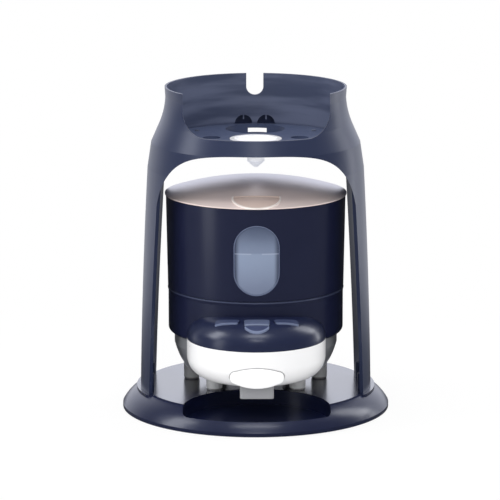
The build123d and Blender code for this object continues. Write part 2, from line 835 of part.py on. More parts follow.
plate_screw_places = [ring_point(plate_radius - 2 * drive_screw_radius, angle)
                      for angle in plate_screw_angles]
with BuildPart() as hopper_lower:
    with BuildSketch(Plane.XZ):
        with BuildLine():
            inner = hopper_foot_radius - hopper_wall
            corner_r = hopper_foot_radius - hopper_corner
            Polyline((inner, seam_low), (hopper_lip_radius - hopper_lip_slope, seam_low),
                     (hopper_lip_radius, seam_low - hopper_lip_slope), (hopper_foot_radius, seam_low - 4),
                     (hopper_foot_radius, hopper_bottom + hopper_corner))
            ThreePointArc((hopper_foot_radius, hopper_bottom + hopper_corner),
                          (corner_r + hopper_corner * sin(pi / 4),
                           hopper_bottom + hopper_corner * (1 - sin(pi / 4))), (corner_r, hopper_bottom))
            Polyline((corner_r, hopper_bottom), (floor_inner_radius, hopper_bottom),
                     (floor_inner_radius, hopper_bottom + floor_thickness),
                     (inner, hopper_bottom + floor_thickness),
                     (inner, plate_z - plate_ledge_height),
                     (ledge_inner_radius, plate_z - plate_ledge_height + 1.5), (ledge_inner_radius, plate_z),
                     (inner, plate_z), (inner, seam_low))
        make_face()
    revolve(axis=Axis.Z)
    add(chute_clearance.part, mode=Mode.SUBTRACT)
    with BuildSketch(Plane.XY.offset(plate_z)):
        with Locations(plate_screw_places):
            Circle(drive_screw_radius + seat_gap)
    extrude(amount=-plate_ledge_height, mode=Mode.SUBTRACT)
save(hopper_lower, "hopper_lower")

feed_angles = (50, 90, 130)
with BuildPart() as powder_bin:
    with BuildSketch(Plane.XZ):
        with BuildLine():
            flange_radius = hopper_radius(bin_top) - hopper_wall - fit_gap
            bin_radius = flange_radius - bin_ledge - 0.6
            floor_top = bin_floor_z + bin_wall
            cone_radius = hopper_radius(bin_cone_z) - hopper_wall - 1.2
            Polyline((0, bin_floor_z), (bin_floor_radius, bin_floor_z),
                     (cone_radius, bin_cone_z), (bin_radius, bin_top),
                     (flange_radius, bin_top), (flange_radius, bin_top + bin_flange),
                     (bin_radius - bin_wall, bin_top + bin_flange),
                     (cone_radius - bin_wall, bin_cone_z + 0.6),
                     (bin_floor_radius - 0.5, floor_top), (0, floor_top), close=True)
        make_face()
    revolve(axis=Axis.Z)
    with BuildSketch(Plane.XY.offset(bin_floor_z)):
        Circle(shaft_radius + fit_gap)
        with Locations([ring_point(pocket_circle, angle) for angle in feed_angles]):
            Circle(pocket_radius)
    extrude(amount=bin_wall, mode=Mode.SUBTRACT)
save(powder_bin, "powder_bin")

# ---------------------------------------------------------------- bowl, legs and battery door
box_half_x = cell_pitch * cell_count / 2 + box_wall
box_half_y = cell_length / 2 + box_wall + 1.0
door_half_x = box_half_x - box_wall + seat_gap
door_half_y = box_half_y - seat_gap


def bowl_line(inset):
    """The bowl's side from its rim to its flat bottom, moved inwards."""
    side = Spline((bowl_radius - inset, bowl_shoulder_z), (bowl_side_radius - inset, bowl_side_z),
                  (bowl_low_radius - inset, bowl_low_z + 0.3 * inset),
                  (bowl_bottom_radius - 0.5 * inset, bowl_bottom + inset))
    return side


with BuildPart() as bowl_envelope:
    with BuildSketch(Plane.XZ):
        with BuildLine():
            bowl_line(0)
            Polyline((bowl_bottom_radius, bowl_bottom), (0, bowl_bottom), (0, hopper_bottom),
                     (bowl_radius, hopper_bottom), (bowl_radius, bowl_shoulder_z))
        make_face()
    revolve(axis=Axis.Z)

with BuildPart() as bowl_inside:
    with BuildSketch(Plane.XZ):
        with BuildLine():
            bowl_line(bowl_wall)
            Polyline((bowl_bottom_radius - 0.5 * bowl_wall, bowl_bottom + bowl_wall),
                     (0, bowl_bottom + bowl_wall), (0, hopper_bottom + 1),
                     (bowl_radius - bowl_wall, hopper_bottom + 1),
                     (bowl_radius - bowl_wall, bowl_shoulder_z))
        make_face()
    revolve(axis=Axis.Z)

with BuildPart() as dispenser_bowl:
    add(bowl_envelope.part)
    add(bowl_inside.part, mode=Mode.SUBTRACT)
    add(chute_clearance.part, mode=Mode.SUBTRACT)
    with BuildSketch(Plane.XY.offset(bowl_bottom)):
        with Locations((0, cell_y)):
            RectangleRounded(2 * door_half_x, 2 * door_half_y, 4)
    extrude(amount=bowl_wall, mode=Mode.SUBTRACT)
save(dispenser_bowl, "dispenser_bowl")

leg_centres = [(side * x, y) for x, y in leg_places for side in (-1, 1)]
with BuildPart() as dispenser_legs:
    with BuildSketch(Plane.XY.offset(base_height + leg_pad_height)):
        with Locations(leg_centres):
            Circle(leg_radius)
    extrude(amount=bowl_side_z - base_height)
    add(bowl_envelope.part, mode=Mode.SUBTRACT)
save(dispenser_legs, "dispenser_legs")

with BuildPart() as leg_pads:
    with BuildSketch(Plane.XY.offset(base_height)):
        with Locations(leg_centres):
            Circle(leg_radius - 0.6)
    extrude(amount=leg_pad_height)
save(leg_pads, "leg_pads")

with BuildPart() as battery_door:
    with BuildSketch(Plane.XY.offset(bowl_bottom)):
        with Locations((0, cell_y)):
            RectangleRounded(2 * (door_half_x - fit_gap), 2 * (door_half_y - fit_gap), 4 - fit_gap)
    extrude(amount=door_thickness)
save(battery_door, "battery_door")

box_low = bowl_bottom + bowl_wall
box_inside_z = 2 * cell_radius + 0.4
with BuildPart() as battery_box:
    with BuildSketch(Plane.XY.offset(box_low)):
        with Locations((0, cell_y)):
            Rectangle(2 * box_half_x, 2 * box_half_y)
    extrude(amount=box_inside_z + box_wall)
    with BuildSketch(Plane.XY.offset(box_low)):
        with Locations((0, cell_y)):
            Rectangle(2 * (box_half_x - box_wall), 2 * (box_half_y - box_wall))
    extrude(amount=box_inside_z, mode=Mode.SUBTRACT)
save(battery_box, "battery_box")

cell_centre_z = box_low + cell_radius
with BuildPart() as battery_cells:
    with BuildSketch(Plane.XZ.offset(-(cell_y - cell_length / 2))):
        for cell in range(cell_count):
            with Locations(((cell - (cell_count - 1) / 2) * cell_pitch, cell_centre_z)):
                Circle(cell_radius)
    extrude(amount=-cell_length)
save(battery_cells, "battery_cells")

with BuildPart() as battery_contacts:
    for end in (-1, 1):
        contact_y = cell_y + end * (cell_length / 2 + 0.5)
        for cell in range(cell_count):
            with BuildSketch(Plane.XZ.offset(-(contact_y - 0.4))):
                with Locations(((cell - (cell_count - 1) / 2) * cell_pitch, cell_centre_z)):
                    Rectangle(9, 9)
            extrude(amount=-0.8)
save(battery_contacts, "battery_contacts")

# ---------------------------------------------------------------- nose
nose_plane = Plane.XZ.offset(-nose_y)
nose_axis = Axis((0, nose_y, 0), (0, 0, 1))
hopper_clear_radius = hopper_foot_radius + nose_hopper_gap
dome_stations = ((0.0, nose_crown), *dome_shoulder, (nose_radius, nose_seam_z))


def dome_solid(rise, shrink):
    """The nose's dome with its flat underside at the seam, raised and shrunk."""
    with BuildPart() as solid:
        with BuildSketch(nose_plane):
            with BuildLine():
                points = [(r * (nose_radius - shrink) / nose_radius, z + rise) for r, z in dome_stations]
                Spline(*points, tangents=((1, 0), (0.05, -1)))
                Polyline(points[-1], (points[-1][0], nose_seam_z - 6), (0, nose_seam_z - 6), points[0])
            make_face()
        revolve(axis=nose_axis)
    return solid.part


def key_plan(name, grow, level):
    """The outline of one key in plan, grown on all sides."""
    side = {"key_left": -1, "key_right": 1}.get(name, 0)
    with BuildSketch(Plane.XY.offset(level)) as plan:
        if name == "key_start":
            half = start_key_width / 2
            back = -(key_back + key_depth + start_key_gap)
            with BuildLine():
                Line((-half, back), (half, back))
                ThreePointArc((half, back), (0, back - start_key_depth), (-half, back))
            make_face()
            fillet(plan.vertices(), 1.0)
            offset(amount=grow)
        else:
            width = side_key_width if side else centre_key_width
            depth = side_key_depth if side else key_depth
            middle = abs(side) * side_key_set_back - key_back - key_depth / 2
            with Locations((side * side_key_x, middle)):
                RectangleRounded(width + 2 * grow, depth + 2 * grow, key_corner + grow,
                                 rotation=side * side_key_turn)
    return plan.sketch


key_names = ("key_left", "key_centre", "key_right", "key_start")
stem_places = {
    "key_left": (-side_key_x, side_key_set_back - key_back - key_depth / 2),
    "key_right": (side_key_x, side_key_set_back - key_back - key_depth / 2),
    "key_centre": (0, -(key_back + key_depth / 2)),
    "key_start": (0, -(key_back + key_depth + start_key_gap + start_key_depth / 2 - 0.2)),
}
board_boss_places = [(side * board_boss_x, board_boss_y) for side in (-1, 1)]
nose_screw_places = [(side * nose_screw_x, nose_screw_y) for side in (-1, 1)]
board_top = board_z + board_thickness

with BuildPart() as hopper_keepout:
    with BuildSketch(Plane.XY.offset(hopper_bottom - nose_hopper_gap)):
        Circle(hopper_clear_radius)
    extrude(amount=40)
    with BuildSketch(Plane.XZ):
        with BuildLine():
            bowl_line(-nose_hopper_gap)
            Polyline((bowl_bottom_radius + nose_hopper_gap / 2, bowl_bottom - nose_hopper_gap),
                     (0, bowl_bottom - nose_hopper_gap), (0, hopper_bottom),
                     (bowl_radius + nose_hopper_gap, hopper_bottom),
                     (bowl_radius + nose_hopper_gap, bowl_shoulder_z))
        make_face()
    revolve(axis=Axis.Z)

with BuildPart() as nose_cap:
    add(dome_solid(0, 0))
    add(dome_solid(-nose_wall, nose_wall), mode=Mode.SUBTRACT)
    with BuildSketch(Plane.XY.offset(board_top)):
        with Locations(board_boss_places):
            Circle(board_boss_radius)
    extrude(amount=20)
    with BuildSketch(Plane.XY.offset(nose_seam_z)):
        with Locations(nose_screw_places):
            Circle(boss_radius)
    extrude(amount=30)
    add(dome_solid(0, 0), mode=Mode.INTERSECT)
    with BuildSketch(Plane.XY.offset(nose_seam_z)):
        Rectangle(400, 400)
    extrude(amount=-10, mode=Mode.SUBTRACT)
    add(hopper_keepout.part, mode=Mode.SUBTRACT)
    for name in key_names:
        extrude(key_plan(name, key_gap, board_top), amount=30, mode=Mode.SUBTRACT)
    with BuildSketch(Plane.XY.offset(board_top)):
        with Locations((0, -(key_back + key_depth + start_key_gap / 2))):
            Rectangle(centre_key_width - 4, start_key_gap + 2)
    extrude(amount=30, mode=Mode.SUBTRACT)
    with BuildSketch(Plane.XY.offset(board_top)):
        with Locations(board_boss_places):
            Circle(board_screw_radius + seat_gap)
    extrude(amount=board_screw_grip + 0.5, mode=Mode.SUBTRACT)
    with BuildSketch(Plane.XY.offset(nose_seam_z)):
        with Locations(nose_screw_places):
            Circle(screw_radius + seat_gap)
    extrude(amount=nose_screw_grip + 1, mode=Mode.SUBTRACT)
save(nose_cap, "nose_cap")

for name in key_names:
    with BuildPart() as key_top:
        extrude(key_plan(name, 0, board_top), amount=30)
        add(dome_solid(key_proud, 0), mode=Mode.INTERSECT)
        add(dome_solid(key_proud - key_thickness, 0), mode=Mode.SUBTRACT)
    with BuildPart() as key:
        with BuildSketch(Plane.XY.offset(board_top + switch_height + key_stem_gap)):
            with Locations(stem_places[name]):
                Circle(key_stem_radius)
        extrude(amount=10)
        add(dome_solid(key_proud - key_thickness / 2, 0), mode=Mode.INTERSECT)
        add(key_top.part)
    save(key, name)


def shell_line(inset):
    """The nose shell's side from the seam to its flat bottom, moved inwards."""
    side = (nose_radius - inset, nose_seam_z)
    waist = (nose_radius - inset, shell_side_z)
    turn = (shell_turn_radius - 0.75 * inset, shell_turn_z + 0.7 * inset)
    low = (shell_bottom_radius, shell_bottom_z + inset)
    Line(side, waist)
    ThreePointArc(waist, turn, low)
    Polyline(low, (0, shell_bottom_z + inset), (0, nose_seam_z), side)


def shell_solid(inset):
    """The filled nose shell, moved inwards."""
    with BuildPart() as solid:
        with BuildSketch(nose_plane):
            with BuildLine():
                shell_line(inset)
            make_face()
        revolve(axis=nose_axis)
    return solid.part


def lever_outline(grow):
    """The lever's rounded outline, seen from the front."""
    half = lever_width / 2 + grow
    low, high = lever_low - grow, lever_high + grow
    across, down = lever_shoulder
    upper, lower = (half - across, high - down), (half - across, low + down)
    with BuildSketch(Plane.XZ.offset(-nose_y + 30)) as outline:
        with BuildLine():
            ThreePointArc((-upper[0], upper[1]), (0, high), upper)
            ThreePointArc(upper, (half, (low + high) / 2), lower)
            ThreePointArc(lower, (0, low), (-lower[0], lower[1]))
            ThreePointArc((-lower[0], lower[1]), (-half, (low + high) / 2), (-upper[0], upper[1]))
        make_face()
        fillet(outline.vertices(), 4.0 + grow)
    return outline.sketch


spout_centre_y = (spout_front + spout_back) / 2
spout_depth = spout_back - spout_front
spout_top = chute_bottom - 0.1
bracket_x = knuckle_x + knuckle_width / 2 + fit_gap + bracket_width / 2

with BuildPart() as shell_envelope:
    add(shell_solid(0))
    add(hopper_keepout.part, mode=Mode.SUBTRACT)

with BuildPart() as nose_shell:
    add(shell_envelope.part)
    add(shell_solid(nose_wall), mode=Mode.SUBTRACT)
    with BuildSketch(Plane.XY.offset(shell_bottom_z)):
        with Locations(nose_screw_places):
            Circle(boss_radius)
    extrude(amount=nose_seam_z - shell_bottom_z)
    add(shell_envelope.part, mode=Mode.INTERSECT)
    # room for the lever, and the two brackets that hold its pin
    extrude(lever_outline(lever_gap), amount=lever_reach, mode=Mode.SUBTRACT)
    for side in (-1, 1):
        with BuildSketch(Plane.YZ.offset(side * bracket_x)):
            with BuildLine():
                Polyline((lever_pivot_y - 4.8, lever_high + lever_gap + 0.4), (lever_pivot_y - 4.8, 66),
                         (lever_pivot_y + 3, 66), (lever_pivot_y + 3, lever_pivot_z - 3.2),
                         (lever_pivot_y - 1.9, lever_pivot_z - 3.2),
                         (lever_pivot_y - 1.9, lever_high + lever_gap + 0.4), close=True)
            make_face()
        extrude(amount=bracket_width / 2, both=True)
    with BuildSketch(Plane.YZ):
        with Locations((lever_pivot_y, lever_pivot_z)):
            Circle(pin_radius + 0.02)
    extrude(amount=bracket_x + bracket_width, both=True, mode=Mode.SUBTRACT)
    # the spout's way out
    with BuildSketch(Plane.XY.offset(shell_bottom_z - 5)):
        with Locations((0, spout_centre_y)):
            RectangleRounded(2 * (spout_half_width + seat_gap), spout_depth + 2 * seat_gap,
                             spout_corner + seat_gap)
    extrude(amount=spout_top + 2 - shell_bottom_z, mode=Mode.SUBTRACT)
    with BuildSketch(Plane.XY.offset(shell_bottom_z - 5)):
        with Locations(nose_screw_places):
            Circle(nose_screw_head + seat_gap)
    extrude(amount=nose_screw_base_z - shell_bottom_z + 5, mode=Mode.SUBTRACT)
    with BuildSketch(Plane.XY.offset(nose_screw_base_z - 1)):
        with Locations(nose_screw_places):
            Circle(screw_radius + seat_gap)
    extrude(amount=40, mode=Mode.SUBTRACT)
save(nose_shell, "nose_shell")

with BuildPart() as nose_screws:
    with BuildSketch(Plane.XY.offset(nose_screw_base_z)):
        with Locations(nose_screw_places):
            Circle(nose_screw_head)
    extrude(amount=-2.4)
    with BuildSketch(Plane.XY.offset(nose_screw_base_z)):
        with Locations(nose_screw_places):
            Circle(screw_radius)
    extrude(amount=nose_seam_z + nose_screw_grip - nose_screw_base_z)
save(nose_screws, "nose_screws")

with BuildPart() as spout:
    with BuildSketch(Plane.XY.offset(spout_bottom)):
        with Locations((0, spout_centre_y)):
            RectangleRounded(2 * spout_half_width, spout_depth, spout_corner)
            RectangleRounded(2 * (spout_half_width - spout_wall), spout_depth - 2 * spout_wall,
                             spout_corner - spout_wall, mode=Mode.SUBTRACT)
    extrude(amount=spout_top - spout_bottom)
save(spout, "spout")

# ---------------------------------------------------------------- outlet lever
with BuildPart() as outlet_lever:
    with BuildSketch(Plane.XY.offset(lever_low - 5)):
        with Locations((0, nose_y)):
            Circle(nose_radius + lever_proud)
            Circle(nose_radius - lever_back, mode=Mode.SUBTRACT)
    extrude(amount=lever_high - lever_low + 10)
    extrude(lever_outline(0), amount=lever_reach, mode=Mode.INTERSECT)
    fillet(outlet_lever.edges().filter_by(
        lambda edge: all(abs(sqrt(v.X**2 + (v.Y - nose_y) ** 2) - nose_radius - lever_proud) < 0.01
                         for v in edge.vertices())), 1.4)
    for side in (-1, 1):
        with BuildSketch(Plane.YZ.offset(side * knuckle_x)):
            with Locations((lever_pivot_y, lever_pivot_z)):
                Circle(knuckle_radius)
            with Locations((lever_pivot_y - 2.6, lever_pivot_z - 1.1)):
                Rectangle(5.2, 3.8)
        extrude(amount=knuckle_width / 2, both=True)
    with BuildSketch(Plane.YZ):
        with Locations((lever_pivot_y, lever_pivot_z)):
            Circle(pin_radius + 0.15)
    extrude(amount=knuckle_x + knuckle_width, both=True, mode=Mode.SUBTRACT)
save(outlet_lever, "outlet_lever")

with BuildPart() as lever_pin:
    with BuildSketch(Plane.YZ):
        with Locations((lever_pivot_y, lever_pivot_z)):
            Circle(pin_radius)
    extrude(amount=bracket_x + bracket_width / 2, both=True)
save(lever_pin, "lever_pin")

spring_length = 2 * (knuckle_x - knuckle_width / 2) - 6 * spring_wire
with BuildPart() as lever_spring:
    with BuildLine():
        coil = Helix(pitch=spring_length / spring_turns, height=spring_length, radius=spring_coil_radius,
                     center=(-spring_length / 2, lever_pivot_y, lever_pivot_z), direction=(1, 0, 0))
    with BuildSketch(Plane(origin=coil @ 0, z_dir=coil % 0)):
        Circle(spring_wire)
    sweep()
save(lever_spring, "lever_spring")

# ---------------------------------------------------------------- lid
lid_low = hopper_top + lid_gap
lid_edge_z = lid_low + lid_rim_height
knuckle_gap = 0.3
bracket_knuckle = hinge_knuckle / 2
lid_sphere = (lid_radius**2 + (lid_crown - lid_edge_z) ** 2) / (2 * (lid_crown - lid_edge_z))
inner_rise = lid_crown - lid_wall - lid_low
inner_edge = sqrt(inner_rise * (2 * lid_sphere - inner_rise))


def lid_arc(drop, radius):
    """The lid's crown, from its edge to the middle, lowered and narrowed."""
    edge_z = lid_crown - drop - (lid_sphere - sqrt(lid_sphere**2 - radius**2))
    half_z = lid_crown - drop - (lid_sphere - sqrt(lid_sphere**2 - (radius / 2) ** 2))
    return (radius, edge_z), (radius / 2, half_z), (0, lid_crown - drop)


with BuildPart() as lid_envelope:
    with BuildSketch(Plane.XZ):
        with BuildLine():
            edge_point, half_point, crown_point = lid_arc(0, lid_radius)
            ThreePointArc(edge_point, half_point, crown_point)
            Polyline(crown_point, (0, lid_low), (lid_radius, lid_low), edge_point)
        make_face()
    revolve(axis=Axis.Z)

with BuildPart() as lid_shell:
    add(lid_envelope.part)
    with BuildSketch(Plane.XZ):
        with BuildLine():
            edge_point, half_point, crown_point = lid_arc(lid_wall, inner_edge)
            ThreePointArc(edge_point, half_point, crown_point)
            Polyline(crown_point, (0, lid_low), edge_point)
        make_face()
    revolve(axis=Axis.Z, mode=Mode.SUBTRACT)
    for side in (-1, 1):
        with BuildSketch(Plane.YZ.offset(side * (bracket_knuckle + knuckle_gap))):
            with Locations((hinge_y, hinge_z)):
                Circle(hinge_radius)
            with Locations((hinge_y - 3.2, lid_low + 0.7)):
                Rectangle(6.4, 1.4)
        extrude(amount=side * bracket_knuckle)
    with BuildSketch(Plane.YZ):
        with Locations((hinge_y, hinge_z)):
            Circle(pin_radius + 0.02)
    extrude(amount=hinge_knuckle + 2, both=True, mode=Mode.SUBTRACT)
save(lid_shell, "lid_shell")

with BuildPart() as lid_liner:
    with BuildSketch(Plane.XZ):
        with BuildLine():
            liner_low = bin_top + bin_flange + fit_gap + 0.6
            liner_high = liner_low + liner_thickness
            stem_top = lid_crown - lid_wall - 0.2
            Polyline((0, liner_low), (liner_radius, liner_low), (liner_radius, liner_high),
                     (6, liner_high), (6, stem_top), (0, stem_top), close=True)
        make_face()
    revolve(axis=Axis.Z)
save(lid_liner, "lid_liner")

with BuildPart() as lid_seal:
    with BuildSketch(Plane.XZ):
        with BuildLine():
            seal_low = bin_top + bin_flange + fit_gap
            seal_high = seal_low + seal_height
            seal_in = liner_radius + seat_gap
            seal_out = hopper_top_radius - hopper_wall - fit_gap
            Polyline((seal_in, seal_low), (seal_out - seal_chamfer, seal_low),
                     (seal_out, seal_low + seal_chamfer), (seal_out, seal_high - seal_chamfer),
                     (seal_out - seal_chamfer, seal_high), (seal_in, seal_high), close=True)
        make_face()
    revolve(axis=Axis.Z)
save(lid_seal, "lid_seal")

def tab_plan(inset):
    """The tab's outline in plan: a half disc with short straight sides, moved inwards."""
    with BuildSketch(Plane.XY.offset(lid_edge_z - 0.6)) as plan:
        with Locations((0, tab_centre_y)):
            Circle(tab_radius - inset)
        with Locations((0, tab_centre_y + tab_radius / 2)):
            Rectangle(2 * (tab_radius - inset), tab_radius)
        with Locations((0, tab_centre_y + tab_straight - inset + 2 * tab_radius)):
            Rectangle(4 * tab_radius, 4 * tab_radius, mode=Mode.SUBTRACT)
    return plan.sketch


def under_dome(rise):
    """Everything below the lid's crown, raised by an amount and carried on past its edge."""
    with BuildPart() as filled:
        with BuildSketch(Plane.XZ):
            with BuildLine():
                edge_point, half_point, crown_point = lid_arc(-rise, lid_radius + 8)
                ThreePointArc(edge_point, half_point, crown_point)
                Polyline(crown_point, (0, hopper_top - 4), (lid_radius + 8, hopper_top - 4), edge_point)
            make_face()
        revolve(axis=Axis.Z)
    return filled.part


with BuildPart() as tab_sink:
    extrude(tab_plan(tab_rim), amount=lid_crown - lid_edge_z)
    add(under_dome(tab_proud - tab_hollow), mode=Mode.SUBTRACT)

with BuildPart() as lid_tab:
    extrude(tab_plan(0), amount=lid_crown - lid_edge_z)
    add(under_dome(tab_proud), mode=Mode.INTERSECT)
    add(lid_envelope.part, mode=Mode.SUBTRACT)
    fillet(lid_tab.edges().group_by(Axis.Z)[-1], 0.4)
    add(tab_sink.part, mode=Mode.SUBTRACT)
save(lid_tab, "lid_tab")

with BuildPart() as hinge_bracket:
    with BuildSketch(Plane.YZ):
        with Locations((hinge_y, hinge_z)):
            Circle(hinge_radius)
        with Locations((hinge_y - 3.6, hinge_z - 3.2)):
            Rectangle(7.2, 6.4)
    extrude(amount=bracket_knuckle, both=True)
    with BuildSketch(Plane.XY.offset(hinge_z - 20)):
        Circle(hopper_top_radius + 0.05)
    extrude(amount=40, mode=Mode.SUBTRACT)
    with BuildSketch(Plane.YZ):
        with Locations((hinge_y, hinge_z)):
            Circle(pin_radius + 0.15)
    extrude(amount=hinge_knuckle, both=True, mode=Mode.SUBTRACT)
save(hinge_bracket, "hinge_bracket")

with BuildPart() as hinge_pin:
    with BuildSketch(Plane.YZ):
        with Locations((hinge_y, hinge_z)):
            Circle(pin_radius)
    extrude(amount=hinge_knuckle + knuckle_gap, both=True)
save(hinge_pin, "hinge_pin")

# ---------------------------------------------------------------- drive
motor_y = gear_module * (gear_teeth + pinion_teeth) / 2 + gear_gap
plate_top = plate_z + plate_thickness
motor_screw_places = [(side * motor_screw_x, motor_y) for side in (-1, 1)]


def gear_plan(teeth, phase, centre, level):
    """A spur gear's outline, with one tooth pointing at the phase angle."""
    pitch_radius = gear_module * teeth / 2
    stations = ((-1.0, pitch_radius - 1.2), (-0.3, pitch_radius + 0.9), (0.3, pitch_radius + 0.9),
                (1.0, pitch_radius - 1.2))
    points = []
    for tooth in range(teeth):
        angle = radians(phase + 360 * tooth / teeth)
        for across, radius in stations:
            flank = angle + across * gear_module / radius
            points.append((centre[0] + radius * cos(flank), centre[1] + radius * sin(flank)))
    with BuildSketch(Plane.XY.offset(level)) as plan:
        with BuildLine():
            Polyline(*points, close=True)
        make_face()
    return plan.sketch


with BuildPart() as mechanism_plate:
    with BuildSketch(Plane.XY.offset(plate_z)):
        Circle(plate_radius)
        Circle(bush_radius, mode=Mode.SUBTRACT)
        with Locations((0, motor_y)):
            Circle(motor_shaft_radius + 1.5, mode=Mode.SUBTRACT)
        with Locations(plate_screw_places + motor_screw_places):
            Circle(drive_screw_radius + seat_gap, mode=Mode.SUBTRACT)
    extrude(amount=plate_thickness)
    add(chute_clearance.part, mode=Mode.SUBTRACT)
save(mechanism_plate, "mechanism_plate")

with BuildPart() as gear_motor:
    with BuildSketch(Plane.XY.offset(plate_z - motor_length)):
        with Locations((0, motor_y)):
            Circle(motor_radius)
    extrude(amount=motor_length)
    chamfer(gear_motor.edges().group_by(Axis.Z)[0], 1.0)
    with BuildSketch(Plane.XY.offset(plate_z)):
        with Locations((0, motor_y)):
            Circle(motor_shaft_radius + 0.2)
        with Locations(motor_screw_places):
            Circle(drive_screw_radius + seat_gap)
    extrude(amount=-motor_shaft_depth - 1, mode=Mode.SUBTRACT)
save(gear_motor, "gear_motor")

for node, places, depth in (("plate_screws", plate_screw_places, 2.6),
                            ("motor_screws", motor_screw_places, 6.0)):
    with BuildPart() as screws:
        with BuildSketch(Plane.XY.offset(plate_top)):
            with Locations(places):
                Circle(drive_screw_head)
        extrude(amount=drive_screw_head_height)
        with BuildSketch(Plane.XY.offset(plate_top)):
            with Locations(places):
                Circle(drive_screw_radius)
        extrude(amount=-(plate_thickness + depth))
    save(screws, node)

with BuildPart() as motor_pinion:
    extrude(gear_plan(pinion_teeth, 270 + 180 / pinion_teeth, (0, motor_y), gear_low - 0.5),
            amount=pinion_height)
    with BuildSketch(Plane.XY.offset(plate_z - motor_shaft_depth)):
        with Locations((0, motor_y)):
            Circle(motor_shaft_radius)
    extrude(amount=gear_low + pinion_height - plate_z + motor_shaft_depth)
save(motor_pinion, "motor_pinion")

with BuildPart() as drive_gear:
    extrude(gear_plan(gear_teeth, 90, (0, 0), gear_low), amount=gear_height)
    with BuildSketch(Plane.XY.offset(gear_low)):
        Circle(shaft_bore)
    extrude(amount=gear_height, mode=Mode.SUBTRACT)
save(drive_gear, "drive_gear")

with BuildPart() as drive_shaft:
    with BuildSketch(Plane.XY.offset(shaft_bottom)):
        Circle(shaft_radius)
    extrude(amount=agitator_top - shaft_bottom)
    chamfer(drive_shaft.edges().group_by(Axis.Z)[-1], 0.8)
save(drive_shaft, "drive_shaft")

with BuildPart() as shaft_clip:
    with BuildSketch(Plane.XY.offset(shaft_bottom + 0.8)):
        Circle(shaft_radius + 2.0)
        Circle(shaft_radius, mode=Mode.SUBTRACT)
    extrude(amount=1.0)
save(shaft_clip, "shaft_clip")

with BuildPart() as shaft_bush:
    with BuildSketch(Plane.XY.offset(plate_z - 2)):
        Circle(bush_radius)
    extrude(amount=plate_thickness + 2)
    with BuildSketch(Plane.XY.offset(plate_top)):
        Circle(bush_radius + 2)
    extrude(amount=1.6)
    with BuildSketch(Plane.XY.offset(plate_z - 2)):
        Circle(shaft_radius + 0.1)
    extrude(amount=plate_thickness + 4, mode=Mode.SUBTRACT)
save(shaft_bush, "shaft_bush")

floor_top_z = housing_floor_z + housing_floor
wheel_low = floor_top_z + 0.5
post_places = [ring_point(post_circle, angle) for angle in post_angles]
housing_bore = wheel_radius + 0.6
with BuildPart() as dosing_housing:
    with BuildSketch(Plane.XY.offset(housing_floor_z)):
        Circle(housing_bore + housing_wall)
    extrude(amount=bin_floor_z - seat_gap - housing_floor_z)
    with BuildSketch(Plane.XY.offset(floor_top_z)):
        Circle(housing_bore)
    extrude(amount=30, mode=Mode.SUBTRACT)
    with BuildSketch(Plane.XY.offset(housing_floor_z)):
        Circle(shaft_radius + 0.3)
        with Locations((0, -pocket_circle)):
            Circle(pocket_radius)
    extrude(amount=housing_floor, mode=Mode.SUBTRACT)
    with BuildSketch(Plane.XY.offset(plate_top)):
        with Locations(post_places):
            Circle(post_radius)
    extrude(amount=housing_floor_z - plate_top)
save(dosing_housing, "dosing_housing")

with BuildPart() as shaft_seal:
    with BuildSketch(Plane.XY.offset(housing_floor_z - 1.8)):
        Circle(shaft_radius + 3.2)
        Circle(shaft_radius + 0.2, mode=Mode.SUBTRACT)
    extrude(amount=1.8)
save(shaft_seal, "shaft_seal")

with BuildPart() as dosing_wheel:
    with BuildSketch(Plane.XY.offset(wheel_low)):
        Circle(wheel_radius)
        Circle(shaft_bore, mode=Mode.SUBTRACT)
        with PolarLocations(pocket_circle, pocket_count, start_angle=30):
            Circle(pocket_radius, mode=Mode.SUBTRACT)
    extrude(amount=wheel_height)
save(dosing_wheel, "dosing_wheel")

arm_low = bin_floor_z + bin_wall + 1.4
with BuildPart() as agitator:
    with BuildSketch(Plane.XY.offset(arm_low - 0.8)):
        Circle(agitator_hub_radius)
    extrude(amount=8)
    for arm in range(agitator_arms):
        turn = 360 / agitator_arms * arm
        with BuildSketch(Plane.XY.offset(arm_low), mode=Mode.PRIVATE) as arm_plan:
            with Locations((agitator_arm_reach / 2, 0)):
                RectangleRounded(agitator_arm_reach, agitator_arm_width, agitator_arm_width / 2 - 0.5)
        extrude(arm_plan.sketch.rotate(Axis.Z, turn), amount=agitator_arm_height)
        with BuildSketch(Plane.XY.offset(arm_low)):
            with Locations(ring_point(agitator_arm_reach - 3, turn)):
                Circle(agitator_arm_width / 2 - 0.2)
        extrude(amount=agitator_finger_height)
    with BuildSketch(Plane.XY.offset(arm_low - 2)):
        Circle(shaft_bore)
    extrude(amount=20, mode=Mode.SUBTRACT)
save(agitator, "agitator")

with BuildPart() as outlet_chute:
    extrude(chute_side(chute_wall, chute_bottom, housing_floor_z - seat_gap),
            amount=chute_half_width, both=True)
    extrude(chute_side(0, chute_bottom - 1, housing_floor_z + 1),
            amount=chute_half_width - chute_wall, both=True, mode=Mode.SUBTRACT)
save(outlet_chute, "outlet_chute")

# ---------------------------------------------------------------- control board
with BuildPart() as control_board:
    with BuildSketch(Plane.XY.offset(board_z)):
        with Locations((0, board_centre_y)):
            Rectangle(board_width, board_depth)
        with Locations((0, board_middle_y)):
            Rectangle(board_middle_width, board_middle_depth)
        with Locations((0, board_tongue_y)):
            Rectangle(board_tongue_width, board_tongue_depth)
        with Locations(board_boss_places):
            Circle(board_screw_radius + seat_gap, mode=Mode.SUBTRACT)
    extrude(amount=board_thickness)
save(control_board, "control_board")

